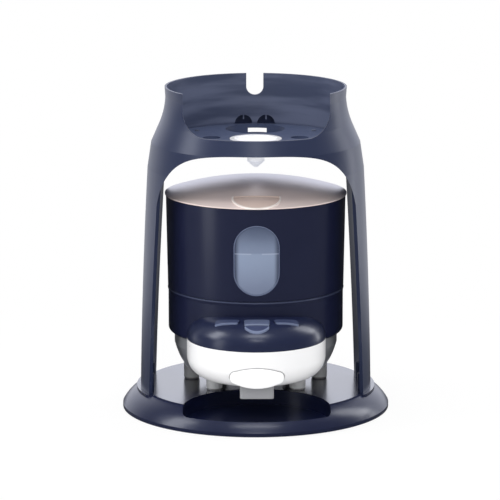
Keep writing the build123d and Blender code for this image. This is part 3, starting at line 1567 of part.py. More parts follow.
with BuildPart() as key_switches:
    with BuildSketch(Plane.XY.offset(board_top)):
        with Locations(list(stem_places.values())):
            Rectangle(switch_size, switch_size)
    extrude(amount=switch_height - switch_button_height)
    with BuildSketch(Plane.XY.offset(board_top + switch_height - switch_button_height)):
        with Locations(list(stem_places.values())):
            Circle(switch_button_radius)
    extrude(amount=switch_button_height)
save(key_switches, "key_switches")

with BuildPart() as board_screws:
    with BuildSketch(Plane.XY.offset(board_z)):
        with Locations(board_boss_places):
            Circle(2 * board_screw_radius)
    extrude(amount=-1.4)
    with BuildSketch(Plane.XY.offset(board_z)):
        with Locations(board_boss_places):
            Circle(board_screw_radius)
    extrude(amount=board_thickness + board_screw_grip)
save(board_screws, "board_screws")
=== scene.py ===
# %% [markdown]
# # A baby formula maker, dressed for a studio picture
# The object is a navy stand with a powder dispenser stored inside it. Its solids come from a CAD
# model that is already packed, with every piece at its real place and size. They already have
# every edge that shows, so this lesson adds no shape: it gives each piece its finish, and sets up
# the floor, the light and the camera.
#
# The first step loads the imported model. Each CAD node arrives as a mesh object that sits at the
# origin with its place in its vertices, so object coordinates are the same metres everywhere: X
# runs to the right, the object looks along -Y, and the floor is at Z = 0.

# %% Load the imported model
import json
import math

import bpy
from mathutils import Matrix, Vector


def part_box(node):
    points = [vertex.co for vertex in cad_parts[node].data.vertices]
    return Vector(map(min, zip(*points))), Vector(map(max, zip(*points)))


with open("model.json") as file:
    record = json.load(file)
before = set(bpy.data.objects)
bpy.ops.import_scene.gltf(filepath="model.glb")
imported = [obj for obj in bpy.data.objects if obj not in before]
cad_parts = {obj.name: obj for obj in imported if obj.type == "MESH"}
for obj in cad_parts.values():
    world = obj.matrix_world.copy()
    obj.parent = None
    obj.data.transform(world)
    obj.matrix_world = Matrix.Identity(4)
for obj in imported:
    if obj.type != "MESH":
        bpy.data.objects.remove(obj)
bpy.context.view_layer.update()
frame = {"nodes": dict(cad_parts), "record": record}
nodes = frame["nodes"]

# %% [markdown]
# ## Writing a finish as sums
# A real surface is never one flat colour: a moulding has a faint grain, a little dust and a
# roughness that wanders. Such a finish is a small formula over the surface. Wiring it by hand
# takes many nodes, so this class wraps one output socket and gives it plus, minus, times, divided
# by and power. Each sum adds one Math node. Numbers alone stay in Python.

# %% A socket that can be added and multiplied
class Wire:
    """One output of a shader tree; arithmetic on it adds Math nodes."""

    def __init__(self, tree, socket):
        self.tree = tree
        self.socket = socket

    def maths(self, operation, *values):
        return self.tree.node("ShaderNodeMath", {"operation": operation}, dict(enumerate(values)))

    def __add__(self, other):
        return self.maths("ADD", self, other)

    def __radd__(self, other):
        return self.maths("ADD", other, self)

    def __sub__(self, other):
        return self.maths("SUBTRACT", self, other)

    def __rsub__(self, other):
        return self.maths("SUBTRACT", other, self)

    def __mul__(self, other):
        return self.maths("MULTIPLY", self, other)

    def __rmul__(self, other):
        return self.maths("MULTIPLY", other, self)

    def __truediv__(self, other):
        return self.maths("DIVIDE", self, other)

    def __pow__(self, other):
        return self.maths("POWER", self, other)


print("Wire knows + - * / and **")

# %% [markdown]
# ## One method for every other node
# A `Tree` is a shader tree whose `node` method makes any node: first its settings, then the values
# or wires of its sockets, and last which output it hands back.

# %% Trees of nodes
class Tree:
    """A shader tree whose nodes hand back wires."""

    def __init__(self, node_tree):
        self.nodes = node_tree.nodes
        self.links = node_tree.links

    def node(self, kind, settings=None, sockets=None, out=0):
        """Adds a node, sets it up, joins its sockets and returns one of its outputs."""
        made = self.nodes.new(kind)
        for key, value in (settings or {}).items():
            setattr(made, key, value)
        for key, value in (sockets or {}).items():
            self.join(made.inputs[key], value)
        return Wire(self, made.outputs[out])

    def join(self, socket, value):
        """Links a wire to a socket, or sets the socket's own value."""
        if isinstance(value, Wire):
            self.links.new(value.socket, socket)
        else:
            socket.default_value = value


print("Tree makes any node")

# %% [markdown]
# ## A finish is one material
# A `Finish` is a material and its Principled shader. What is the same all over a surface goes
# straight onto the shader's own sockets, and only what varies is wired.

# %% The finish class
class Finish(Tree):
    """One material: a Principled shader and the nodes that feed it."""

    def __init__(self, name, **constants):
        self.material = bpy.data.materials.new(name)
        self.material.use_nodes = True
        super().__init__(self.material.node_tree)
        self.shader = self.nodes["Principled BSDF"]
        self.feed(**constants)

    def feed(self, **sockets):
        """Joins sockets of the Principled shader, named with underscores for spaces."""
        for key, value in sockets.items():
            self.join(self.shader.inputs[key.replace("_", " ")], value)
        return self


print("Finish wraps a Principled shader")

# %% [markdown]
# ## Colours as the eye reads them
# A colour picker shows display values, while the shader works in linear light. `display` turns a
# display colour of 0 to 255 into the linear one, so the numbers below can be read as one would
# read them off a screen. `scaled` makes a linear colour brighter or dimmer, and `mixed` lies
# between two of them.

# %% Display colours to linear light
def display(red, green, blue):
    """A display colour, each channel 0 to 255, as linear red, green, blue and alpha."""
    channels = []
    for value in (red, green, blue):
        share = value / 255
        channels.append(share / 12.92 if share <= 0.04045 else ((share + 0.055) / 1.055) ** 2.4)
    return (*channels, 1.0)


def scaled(colour, factor, lift=0.0):
    """A linear colour times a factor, with a little light added, never past white."""
    return tuple(min(1.0, value * factor + lift) for value in colour[:3]) + (1.0,)


def mixed(colour, other, share):
    """The linear colour that lies this share of the way from one colour to another."""
    return tuple(start + share * (end - start) for start, end in zip(colour, other))


print("navy in linear light:", [round(value, 3) for value in display(38, 43, 72)[:3]])

# %% [markdown]
# ## Where on the surface
# `position` is the point itself, `axis` is one of its coordinates, and `distance_from_axis` is how
# far it lies from an upright line. `between` turns such a measure into a soft step from 0 to 1.

# %% Places as wires
def position(tree):
    """The point on the surface, in metres, in the object's own space."""
    return tree.node("ShaderNodeTexCoord", out="Object")


def axis(tree, name, point=None):
    """One coordinate of the surface point, or of another point."""
    return tree.node("ShaderNodeSeparateXYZ", sockets={0: point or position(tree)}, out=name)


def distance_from_axis(tree, centre_y=0.0):
    """The distance of the surface point from an upright line in the middle plane, in metres."""
    across = axis(tree, "X")
    along = axis(tree, "Y") - centre_y
    return (across * across + along * along) ** 0.5


def between(tree, value, low, high):
    """0 below low, 1 above high, and smooth between them."""
    return tree.node("ShaderNodeMapRange", {"interpolation_type": "SMOOTHSTEP"},
                     {0: value, 1: low, 2: high, 3: 0.0, 4: 1.0})


print("places ready")

# %% [markdown]
# ## The patterns that finishes share
# A few patterns do most of the work. `grain` is an even noise in object space, used small for
# moulding grain and large for the slow change of tone over a big part. `shade` mixes two colours
# by a wire, which a Math node can't do without turning them grey. `relief` turns a height in
# metres into a bump that feeds Normal, and `orange_peel` is the relief that all mouldings share.

# %% Grain, colour mixing and relief
PEEL_SIZE = 0.0016


def grain(tree, size, detail=2.0, stretch=(1, 1, 1)):
    """Noise from 0 to 1 with lumps of about this size in metres."""
    where = tree.node("ShaderNodeVectorMath", {"operation": "MULTIPLY"},
                      {0: position(tree), 1: Vector(stretch) / size})
    return tree.node("ShaderNodeTexNoise", sockets={"Vector": where, "Scale": 1.0, "Detail": detail})


def shade(tree, factor, low, high):
    """A colour from low to high, by a wire from 0 to 1."""
    return tree.node("ShaderNodeMix", {"data_type": "RGBA"}, {0: factor, 6: low, 7: high}, out=2)


def relief(finish, height, depth):
    """A bump of this depth in metres, joined to Normal."""
    sockets = {"Strength": 1.0, "Distance": depth, "Height": height}
    return finish.feed(Normal=finish.node("ShaderNodeBump", sockets=sockets))


def orange_peel(finish, depth):
    """The faint waviness of a moulded skin."""
    return relief(finish, grain(finish, PEEL_SIZE), depth)


print(f"patterns ready, orange peel {PEEL_SIZE * 1000:.1f} mm wide")

# %% [markdown]
# ## Moulded plastic
# Nearly all outer pieces are injection moulded. Seen closely such a skin has a slow change of
# tone where it cooled unevenly, a fine orange-peel relief, and small marks that change the
# roughness but not the colour. One function gives all of that, and its arguments say how glossy
# the piece is, how far its tone wanders and how deep its relief is.

# %% Moulded plastic
PLASTIC_IOR = 1.49


def moulded(name, colour, roughness, coat=0.0, peel=0.00003, wander=0.10, **constants):
    """Injection-moulded plastic in one colour, with tone, marks and orange peel."""
    finish = Finish(name, **{"IOR": PLASTIC_IOR, "Coat_Roughness": 0.12, **constants})
    tone = grain(finish, 0.045, 3.0)
    darker, lighter = scaled(colour, 1 - wander), scaled(colour, 1 + wander, 0.002)
    finish.feed(Base_Color=shade(finish, tone, darker, lighter))
    marks = grain(finish, 0.006, 4.0, (1, 1, 2.2))
    finish.feed(Roughness=roughness * (0.82 + 0.36 * marks))
    if coat:
        finish.feed(Coat_Weight=coat * (1.0 - 0.12 * between(finish, marks, 0.52, 0.75)))
    return orange_peel(finish, peel)


print("moulded plastic ready")

# %% [markdown]
# ## The plain plastics
# Each row is one moulding: its display colour, its roughness, and what makes its skin differ from
# the usual one. The navy pieces tint what they reflect a little, as dark blue plastics do.

# %% The plain plastics
bluish = {"Specular_Tint": (0.72, 0.8, 1.0, 1.0)}
even_white = {"coat": 0.3, "wander": 0.01, "peel": 0.00001}
plastics = {
    # deck_navy is set paler than the frame's navy; that paler tone is painted light from overhead
    "deck_navy": ((72, 81, 108), 0.42, {"coat": 0.2, "peel": 0.00002, "Coat_Roughness": 0.3, **bluish}),
    "nose_navy_gloss": ((24, 31, 60), 0.32,
                        {"coat": 0.7, "peel": 0.000005, "Coat_Roughness": 0.24, **bluish}),
    "bracket_navy": ((29, 32, 56), 0.4, {}),
    "shell_white": ((244, 244, 245), 0.3, even_white),
    "lever_white": ((248, 248, 249), 0.3, even_white),
    "spout_grey": ((150, 151, 155), 0.3, {"wander": 0.05, "peel": 0.00001}),
    "funnel_white": ((242, 242, 244), 0.28, even_white),
    "bowl_smoke": ((140, 142, 147), 0.34, {"coat": 0.3, "peel": 0.000005, "Coat_Roughness": 0.2}),
    "leg_grey": ((243, 244, 246), 0.4, {"peel": 0.00001}),
    "door_grey": ((96, 100, 106), 0.45, {"peel": 0.00006}),
    "base_cover_plastic": ((34, 37, 52), 0.6, {"peel": 0.00008}),
    "window_bezel_grey": ((96, 107, 136), 0.35, {"peel": 0.00001}),
    "inner_white": ((224, 226, 230), 0.45, {"wander": 0.03}),
    "gear_acetal": ((232, 231, 224), 0.4, {"wander": 0.03}),
    "agitator_white": ((228, 229, 232), 0.4, {"wander": 0.03}),
    "switch_black": ((34, 34, 36), 0.5, {}),
    "bin_clear": ((176, 184, 204), 0.25, {"coat": 0.4, "wander": 0.04}),
}
finishes = {name: moulded(name, display(*colour), roughness, **skin)
            for name, (colour, roughness, skin) in plastics.items()}
print(len(finishes), "plain plastics")

# %% [markdown]
# ## The funnel's thin stem
# Below the deck the funnel narrows to a thin stem. Light from above comes through its wall, so it
# looks paler than its shade would make it. A weak emission below the stem's top stands for that.

# %% Light through the stem
stem_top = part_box("deck_plate")[1].z - 0.006
funnel = finishes["funnel_white"]
below = 1.0 - between(funnel, axis(funnel, "Z"), stem_top - 0.0005, stem_top + 0.0005)
funnel.feed(Emission_Color=shade(funnel, below, (0, 0, 0, 1), (0.85, 0.87, 0.93, 1)),
            Emission_Strength=0.5)
print(f"the stem glows below {stem_top * 1000:.0f} mm")

# %% [markdown]
# ## The frame, with painted light inside its collar
# The bell-shaped frame is satin, and the bore of its collar is a lighter tone than the columns,
# with faint bands round it. That lighter tone and its bands are painted light, standing for the
# light that falls into the collar. Two soft steps tell them apart: the distance from the axis, and
# the height over the deck.

# %% The frame
def bell_frame(name):
    """Satin navy, painted lighter in the bore of the collar, with faint painted light bands round it."""
    finish = Finish(name, IOR=PLASTIC_IOR, Coat_Roughness=0.28, **bluish)
    deck_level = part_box("deck_plate")[1].z
    bore_inner, bore_outer = 0.0787, 0.0794
    tone = grain(finish, 0.05, 3.0)
    outer = shade(finish, tone, display(33, 40, 66), display(39, 47, 74))
    bands = between(finish, grain(finish, 0.03, 3.0, (0.3, 0.3, 2.5)), 0.35, 0.65)
    # painted light: the bore's paler colour and its bands stand for light falling into the collar
    bore = shade(finish, bands, display(68, 75, 98), display(98, 105, 128))
    over_deck = between(finish, axis(finish, "Z"), deck_level - 0.003, deck_level + 0.003)
    past_bore = between(finish, distance_from_axis(finish), bore_inner, bore_outer)
    finish.feed(Base_Color=shade(finish, over_deck * (1.0 - past_bore), outer, bore))
    finish.feed(Roughness=0.34 + 0.12 * tone, Coat_Weight=0.3 + 0.1 * tone)
    return orange_peel(finish, 0.00002)


finishes["frame_navy"] = bell_frame("frame_navy")
print("frame ready")

# %% [markdown]
# ## A polished disc on a softer skirt
# The flat top of the base is polished like a mirror tile, while the skirt round it is only
# glossy. A step just below the top face tells the two apart.

# %% The base
def polished_base(name):
    """Deep navy with a polished top and a softer skirt."""
    finish = Finish(name, IOR=PLASTIC_IOR, Coat_Roughness=0.2, Coat_IOR=1.6, **bluish)
    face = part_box("base_plate")[1].z
    tone = grain(finish, 0.05, 3.0)
    top = between(finish, axis(finish, "Z"), face - 0.0015, face - 0.0005)
    finish.feed(Base_Color=shade(finish, tone, display(16, 22, 50), display(20, 26, 57)))
    finish.feed(Roughness=0.3 - 0.1 * top + 0.08 * tone, Coat_Weight=0.45 + 0.55 * top)
    return orange_peel(finish, 0.000005)


finishes["base_navy_gloss"] = polished_base("base_navy_gloss")
print("base ready")

# %% [markdown]
# ## The hopper and its seam
# The hopper's two shells are a deeper navy. The lower one ends in a small sloped lip at the seam,
# and a paler band there is a painted highlight, standing for the light that the lip catches.

# %% The hopper
def hopper_body(name):
    """Deep navy with a soft gloss and a painted highlight on the lip at the seam."""
    finish = Finish(name, IOR=PLASTIC_IOR, Coat_Roughness=0.22, Coat_Weight=0.45, **bluish)
    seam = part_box("hopper_lower")[1].z
    height = axis(finish, "Z")
    over_slope = between(finish, height, seam - 0.0016, seam - 0.0010)
    over_seam = between(finish, height, seam, seam + 0.0002)
    tone = grain(finish, 0.045, 3.0)
    body = shade(finish, tone, display(20, 24, 50), display(27, 31, 58))
    # painted highlight: the lip between the slope and the seam takes a paler navy
    finish.feed(Base_Color=shade(finish, over_slope * (1.0 - over_seam), body, display(58, 64, 88)))
    finish.feed(Roughness=0.3 + 0.08 * tone)
    return orange_peel(finish, 0.000005)


finishes["hopper_navy_gloss"] = hopper_body("hopper_navy_gloss")

# %% [markdown]
# ## The straight keys
# Light catches the rounded front edge of a key, and the paler colour there is a painted highlight.
# The edge is where the distance from the key's middle, measured towards its own front, nears half
# of its depth. The side keys are turned outwards, so that direction turns with them.

# %% The straight keys
key_gloss = {"IOR": PLASTIC_IOR, "Coat_Roughness": 0.16, "Coat_Weight": 0.4, **bluish}


def key_skin(finish, rim, face, edge):
    """A key's skin: its face between two colours, a painted highlight along the edge, and the fine
    relief.
    """
    tone = grain(finish, 0.006, 3.0)
    finish.feed(Base_Color=shade(finish, rim, shade(finish, tone, *face), edge))
    finish.feed(Roughness=0.3 + 0.12 * tone)
    return orange_peel(finish, 0.00001)


def straight_key(name, colour, edge, half_depth, turn=0.0):
    """A key with one straight front edge, turned about the upright axis."""
    finish = Finish(name, **key_gloss)
    low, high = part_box(name)
    middle = (low + high) / 2
    across = axis(finish, "X") - middle.x
    along = axis(finish, "Y") - middle.y
    towards_front = across * math.sin(turn) - along * math.cos(turn)
    # painted highlight: the rim mask lies along the key's front edge
    rim = between(finish, towards_front, half_depth - 0.0012, half_depth - 0.0006)
    return key_skin(finish, rim, (colour, mixed(colour, edge, 0.3)), edge)


side_turn = math.radians(17)
# the second colour of each key is its painted highlight
for name, turn in (("key_left", -side_turn), ("key_right", side_turn)):
    finishes[name] = straight_key(name, display(44, 52, 82), display(104, 114, 142), 0.0031, turn)
finishes["key_centre"] = straight_key("key_centre", display(74, 83, 110), display(120, 130, 156), 0.0045)
print("three straight keys")

# %% [markdown]
# ## The half-moon key
# The start key is part of a disc. Its round edge is where the distance from the disc's centre
# nears the radius, and the front of the key's box gives that radius.

# %% The start key
def start_key(name, centre_y, radius):
    """The half-moon key, with a painted highlight along its round edge."""
    finish = Finish(name, **key_gloss)
    # painted highlight: the rim mask lies along the round edge
    rim = between(finish, distance_from_axis(finish, centre_y), radius - 0.0015, radius - 0.0008)
    return key_skin(finish, rim, (display(48, 56, 86), display(58, 66, 98)), display(112, 122, 150))


disc_centre_y = -0.0901
disc_radius = disc_centre_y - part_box("key_start")[0].y
finishes["key_start"] = start_key("key_start", disc_centre_y, disc_radius)
print(f"start key of {disc_radius * 1000:.1f} mm radius")

# %% [markdown]
# ## Champagne metal for the lid
# The lid is a shallow dome in a metallic champagne, with very fine lines turned round its middle.
# Turning is noise that is stretched along the circle: the distance from the axis changes fast, the
# angle hardly at all. Towards the back the dome is given bare metal and a pale cool tone, and takes
# its tone from what stands round it; at the front it is given little metal and reads as paint, so
# its diffuse part shows it paler. That split is painted light on one metal. The tab at its front
# has a bevel, drawn bright with a painted highlight.

# %% Turned metal
def turned_lines(finish, reach, centre_y):
    """Fine lines round an upright axis, as noise stretched along the circle."""
    line_spacing, turn_stretch = 0.0005, 1.5
    along = axis(finish, "Y") - centre_y
    turn = finish.node("ShaderNodeMath", {"operation": "ARCTAN2"}, {0: along, 1: axis(finish, "X")})
    sockets = {0: reach / line_spacing, 1: turn * turn_stretch, 2: 0.0}
    where = finish.node("ShaderNodeCombineXYZ", sockets=sockets)
    return finish.node("ShaderNodeTexNoise", sockets={"Vector": where, "Scale": 1.0, "Detail": 3.0})


def turned_metal(name, colour, roughness, centre_y=0.0, bevel=None):
    """Metal at the back and like paint in front, a split that is painted light, with a painted highlight
    on the bevel if it has one.
    """
    finish = Finish(name)
    reach = distance_from_axis(finish, centre_y)
    lines = turned_lines(finish, reach, centre_y)
    cloud = grain(finish, 0.03, 2.0)
    front = shade(finish, 0.3 * lines + 0.6 * cloud, scaled(colour, 0.88), colour)
    if bevel:
        # painted highlight: a bright ring of colour at the bevel's radius
        edge = between(finish, reach, bevel - 0.0004, bevel + 0.0002)
        front = shade(finish, edge, front, display(255, 246, 240))
    # painted light: the dome is split front and back into two finishes of one metal
    back = between(finish, axis(finish, "Y"), -0.05, 0.01)
    finish.feed(Base_Color=shade(finish, back, front, display(208, 205, 212)))
    finish.feed(Metallic=0.12 + 0.78 * back, Roughness=roughness * (0.85 + 0.3 * lines))
    return relief(finish, lines, 0.000002)


finishes["lid_champagne"] = turned_metal("lid_champagne", display(246, 228, 222), 0.32)
finishes["tab_champagne"] = turned_metal("tab_champagne", display(232, 208, 196), 0.36,
                                         centre_y=-0.0612, bevel=0.0201)
print("lid and tab finishes")

# %% [markdown]
# ## The window
# The pane is a smoky plastic over the powder bin. It is paler low down, a painted light standing for
# the light that the bin behind it scatters, and darker above a faint level line that is broken in the
# middle. Towards its sides the pane curves back with the hopper, and a painted shade darkens it there.

# %% Window
def smoky_window(name, level=0.154):
    """A tinted pane, with painted light below its level line and painted shade towards its sides."""
    finish = Finish(name, Roughness=0.16, Coat_Weight=0.5, Coat_Roughness=0.03, IOR=PLASTIC_IOR)
    height = axis(finish, "Z")
    side = axis(finish, "X")
    off_middle = side * side
    # painted light: the lower part brightens towards the level line
    low = shade(finish, between(finish, height, 0.116, 0.150), display(111, 121, 145),
                display(130, 143, 167))
    high = shade(finish, between(finish, height, level, 0.178), display(115, 127, 151),
                 display(73, 83, 107))
    body = shade(finish, between(finish, height, level - 0.0006, level + 0.0006), low, high)
    # painted shade: the pane darkens towards its sides
    sides = between(finish, off_middle, 0.0002, 0.00035)
    body = shade(finish, 0.85 * sides, body, display(50, 57, 80))
    under = between(finish, height, level - 0.0012, level - 0.0007)
    over = between(finish, height, level - 0.0002, level + 0.0003)
    line = under * (1.0 - over) * between(finish, off_middle, 0.000018, 0.000024)
    haze = grain(finish, 0.012, 3.0)
    finish.feed(Base_Color=shade(finish, 0.28 * line + 0.06 * haze, body, display(190, 198, 218)))
    return relief(finish, grain(finish, 0.004), 0.00001)


finishes["window_smoke"] = smoky_window("window_smoke")
print("window ready")

# %% [markdown]
# ## Small metals
# Screws, springs, pins, the plate and the motor's can are steel, and the contacts are plated. A
# drawn or ground surface has short streaks along one direction, so the same noise is stretched
# that way, and plating adds a cloudy tone.

# %% Small metals
def steel(name, colour, roughness, streak=(1, 1, 12), size=0.0006):
    """Plated or ground steel with short streaks."""
    finish = Finish(name, Metallic=1.0)
    streaks = grain(finish, size, 2.0, streak)
    cloud = grain(finish, 0.004, 2.0)
    finish.feed(Base_Color=shade(finish, cloud, scaled(colour, 0.78), colour))
    finish.feed(Roughness=roughness * (0.75 + 0.5 * streaks))
    return relief(finish, streaks, 0.000008)


finishes["screw_steel"] = steel("screw_steel", display(196, 198, 202), 0.34, (1, 1, 1))
finishes["pin_steel"] = steel("pin_steel", display(206, 206, 208), 0.26, (1, 12, 12))
finishes["plate_steel"] = steel("plate_steel", display(198, 202, 206), 0.38, (12, 1, 1), 0.0012)
finishes["motor_can"] = steel("motor_can", display(178, 180, 184), 0.32)
finishes["contact_metal"] = steel("contact_metal", display(214, 212, 202), 0.22, (1, 1, 1))
print("small metals ready")

# %% [markdown]
# ## Rubber and silicone
# The stand's feet are nearly black rubber and the pads under the dispenser's legs a grey one, both
# matt with a fine tooth. The lid's ring and the funnel's tip are silicone, which lets a little
# light in below its skin. The tip also passes the light that falls into the funnel, and a weak
# emission, a painted glow, stands for that light.

# %% Rubber and silicone
def soft_rubber(name, colour, roughness, tooth, **constants):
    """A matt elastomer with a fine tooth."""
    finish = Finish(name, **constants)
    dust = grain(finish, 0.003, 5.0)
    finish.feed(Base_Color=shade(finish, between(finish, dust, 0.45, 0.8), colour,
                                 scaled(colour, 1.5, 0.01)))
    finish.feed(Roughness=roughness + 0.15 * dust)
    return relief(finish, grain(finish, 0.0007, 2.0), tooth)


def milky(weight, radius):
    """How far light goes below a translucent skin, in metres."""
    return {"Subsurface_Weight": weight, "Subsurface_Radius": (radius, radius, radius)}


finishes["foot_rubber"] = soft_rubber("foot_rubber", display(38, 38, 42), 0.75, 0.00008)
finishes["pad_rubber"] = soft_rubber("pad_rubber", display(150, 151, 154), 0.7, 0.00002)
finishes["seal_silicone"] = soft_rubber("seal_silicone", display(196, 197, 202), 0.5, 0.00002,
                                        **milky(0.1, 0.0005))
# painted glow: the tip's emission stands for light passing through it
finishes["nozzle_translucent"] = soft_rubber("nozzle_translucent", display(214, 216, 224), 0.35, 0.00001,
                                             Emission_Color=(0.82, 0.85, 0.93, 1.0),
                                             Emission_Strength=0.55, **milky(0.2, 0.001))
print("rubber and silicone ready")

# %% [markdown]
# ## Circuit board and cells
# Nobody sees these until the object is opened, but they move with the rest. A board is green
# lacquer over copper tracks: a brick pattern gives the straight runs. A cell is a printed sleeve,
# dark along most of its length with a copper-coloured band at one end.

# %% Board and cells
def circuit_board(name):
    """Green lacquer over straight copper tracks."""
    finish = Finish(name, Coat_Weight=0.3, Coat_Roughness=0.1)
    black, white = (0, 0, 0, 1), (1, 1, 1, 1)
    tracks = finish.node("ShaderNodeTexBrick", {"offset": 0.35, "squash": 0.6}, {
        "Vector": position(finish), "Color1": black, "Color2": black, "Mortar": white,
        "Scale": 160.0, "Mortar Size": 0.05})
    copper = tracks * 0.6 + 0.2 * grain(finish, 0.002)
    finish.feed(Base_Color=shade(finish, copper, display(24, 92, 52), display(96, 150, 88)))
    finish.feed(Roughness=0.32 + 0.2 * grain(finish, 0.003))
    return relief(finish, tracks, 0.00003)


def cell_sleeve(name):
    """The printed sleeve of a dry cell, banded along its length."""
    finish = Finish(name, Coat_Weight=0.6, Coat_Roughness=0.06)
    band_start = 0.0075
    band = between(finish, axis(finish, "Y"), band_start, band_start + 0.0003)
    finish.feed(Base_Color=shade(finish, band, display(46, 54, 66), display(190, 130, 82)))
    finish.feed(Metallic=0.9 * band, Roughness=0.28 + 0.15 * grain(finish, 0.004))
    return relief(finish, grain(finish, 0.0012), 0.00001)


finishes["board_green"] = circuit_board("board_green")
finishes["cell_jacket"] = cell_sleeve("cell_jacket")
print("board and cells ready")

# %% [markdown]
# ## Giving every node its finish
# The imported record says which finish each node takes, so the pieces and the record can't drift
# apart. A node that has a finish of its own name, as the keys have, takes that one instead, and
# the pads under the legs take the grey rubber.

# %% Assign the finishes
slot_of = {row["node"]: row["material_slot"] for row in frame["record"]["subparts"]}
slot_of["leg_pads"] = "pad_rubber"
slot_of.update({name: name for name in nodes if name in finishes})
for name, node in nodes.items():
    node.data.materials.clear()
    node.data.materials.append(finishes[slot_of[name]].material)
print("finished", len(nodes), "nodes with", len(finishes), "finishes")

# %% [markdown]
# ## The floor
# A product picture has a pale floor that runs out of sight. For the camera this one is nearly all
# glow, so it meets the white background without a line, and its lit part keeps the object's soft
# shadow. A glossy surface sees it as a studio floor instead: dark in front, bright behind.

# %% Floor
def studio_floor(half=6.0):
    """A pale floor that keeps the object's soft shadow."""
    mesh = bpy.data.meshes.new("studio_floor")
    corners = [(-half, -half, 0), (half, -half, 0), (half, half, 0), (-half, half, 0)]
    mesh.from_pydata(corners, [], [(0, 1, 2, 3)])
    floor = bpy.data.objects.new("studio_floor", mesh)
    bpy.context.scene.collection.objects.link(floor)
    finish = Finish("studio_floor", Roughness=0.8, Base_Color=(0.9, 0.9, 0.9, 1.0))
    far = between(finish, distance_from_axis(finish), 0.16, 0.45)
    behind = between(finish, axis(finish, "Y"), 0.12, 0.6)
    glow = finish.node("ShaderNodeEmission", sockets={"Color": (1, 1, 1, 1), "Strength": 1.0})
    gloss = finish.node("ShaderNodeEmission", sockets={"Color": (0.9, 0.92, 1, 1),
                                                       "Strength": 0.08 + 0.8 * behind})
    from_camera = finish.node("ShaderNodeLightPath", out="Is Camera Ray") * (0.88 + 0.12 * far)
    from_gloss = finish.node("ShaderNodeLightPath", out="Is Glossy Ray") * 0.94
    lit = Wire(finish, finish.shader.outputs[0])
    seen = finish.node("ShaderNodeMixShader", sockets={0: from_camera, 1: lit, 2: glow})
    seen = finish.node("ShaderNodeMixShader", sockets={0: from_gloss, 1: seen, 2: gloss})
    finish.join(finish.nodes["Material Output"].inputs["Surface"], seen)
    mesh.materials.append(finish.material)


studio_floor()
print("floor in place")

# %% [markdown]
# ## The world
# The camera sees plain white. The soft grey that lights the object comes from the same world, told
# apart by the kind of ray. A glossy ray gets a third answer: bright from behind the object, where
# a studio has its lit backdrop, dim from straight above, and nearly dark from the camera's side,
# so dark plastic keeps its shape and shows only the lamps.

# %% World
def studio_world():
    """White for the camera; for gloss, bright behind and dark in front."""
    world = bpy.data.worlds.new("studio_world")
    bpy.context.scene.world = world
    world.use_nodes = True
    sky = Tree(world.node_tree)

    def ray(kind):
        return sky.node("ShaderNodeLightPath", out=f"Is {kind} Ray")

    def choose(factor, other, chosen):
        """The second value where the factor is 1, else the first."""
        return sky.node("ShaderNodeMix", sockets={0: factor, 2: other, 3: chosen})

    direction = sky.node("ShaderNodeTexCoord", out="Generated")
    backdrop = between(sky, axis(sky, "Y", direction), 0.3, 0.95)
    ceiling = between(sky, axis(sky, "Z", direction), 0.45, 0.95)
    gloss = choose(ceiling, choose(backdrop, 0.12, 1.25), 0.25)
    strength = choose(ray("Glossy"), 0.62, gloss)
    strength = choose(ray("Camera"), strength, 1.0)
    strength = choose(ray("Transmission"), strength, 1.0)
    background = sky.nodes["Background"]
    sky.join(background.inputs["Strength"], strength)
    cool = shade(sky, ray("Glossy"), (1, 1, 1, 1), (0.88, 0.9, 1, 1))
    sky.join(background.inputs["Color"], cool)


studio_world()
print("world ready")

# %% [markdown]
# ## Eight softboxes
# All of them look at the middle of the object. Two large ones, overhead and far in front, fill the
# shadows and stay out of reflections. The side boxes draw the highlights on the nose and down
# the hopper, the two at the front draw those on the nose's cap and on the middle of the skirt, and
# the low strips give the hopper and the columns their upright edges of light.

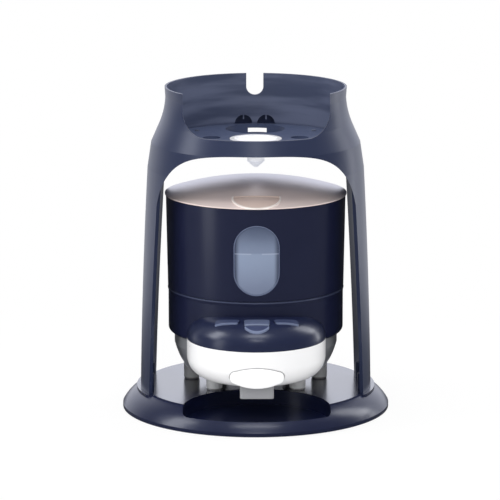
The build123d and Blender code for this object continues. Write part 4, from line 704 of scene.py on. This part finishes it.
# %% Softboxes
def softbox(name, place, width, height, power, in_gloss):
    """One rectangular lamp that looks at the object, and may stay out of reflections."""
    lamp = bpy.data.lights.new(name, "AREA")
    lamp.shape = "RECTANGLE"
    lamp.size = width
    lamp.size_y = height
    lamp.energy = power
    box = bpy.data.objects.new(name, lamp)
    box.location = place
    box.visible_glossy = in_gloss
    box.visible_camera = False
    middle = Vector((0, 0, 0.14))
    box.rotation_euler = (middle - Vector(place)).to_track_quat("-Z", "Y").to_euler()
    bpy.context.scene.collection.objects.link(box)


# place, width and height in metres, power in watts, and whether reflections show the lamp
softboxes = {
    "overhead": ((0, 0.1, 1.6), 1.8, 1.8, 9, False),
    "left_side": ((-1.3, -0.15, 1.1), 0.5, 0.8, 6.5, True),
    "right_side": ((1.15, 0.55, 1.0), 0.4, 0.8, 3.6, True),
    "front_top": ((0, -0.72, 1.35), 0.7, 0.25, 3, True),
    "left_strip": ((-0.62, -0.36, 0.16), 0.2, 0.5, 0.5, True),
    "right_strip": ((0.62, 0.3, 0.16), 0.10, 0.5, 0.4, True),
    "front_high": ((0, -1.25, 1.1), 0.35, 0.25, 1.5, True),
    "front": ((0, -2.2, 1.3), 1.6, 0.9, 10.5, False),
}
for name, settings in softboxes.items():
    softbox(name, *settings)
print(len(softboxes), "softboxes")

# %% [markdown]
# ## Camera
# The camera stands well back with a long lens, a little above the object and turned half a degree
# to one side. A small shift puts the object's axis right of the middle of the frame. The Standard
# view keeps display colours as they were written above.

# %% Camera
def studio_camera():
    """The camera, aimed at the object's axis."""
    distance, rise, side = 2.81685, math.radians(11.46), math.radians(-0.6)
    target = Vector((0, 0, 0.1415))
    level = math.cos(rise)
    back = Vector((math.sin(side) * level, -math.cos(side) * level, math.sin(rise)))
    data = bpy.data.cameras.new("studio_camera")
    data.sensor_width = 36.0
    data.lens = 227.88
    data.shift_x = -0.0114
    data.clip_end = 50.0
    camera = bpy.data.objects.new("studio_camera", data)
    camera.location = target + back * distance
    camera.rotation_euler = (-back).to_track_quat("-Z", "Y").to_euler()
    bpy.context.scene.collection.objects.link(camera)
    bpy.context.scene.camera = camera


studio_camera()
bpy.context.scene.view_settings.view_transform = "Standard"
print("camera at", [round(value, 3) for value in bpy.context.scene.camera.location])
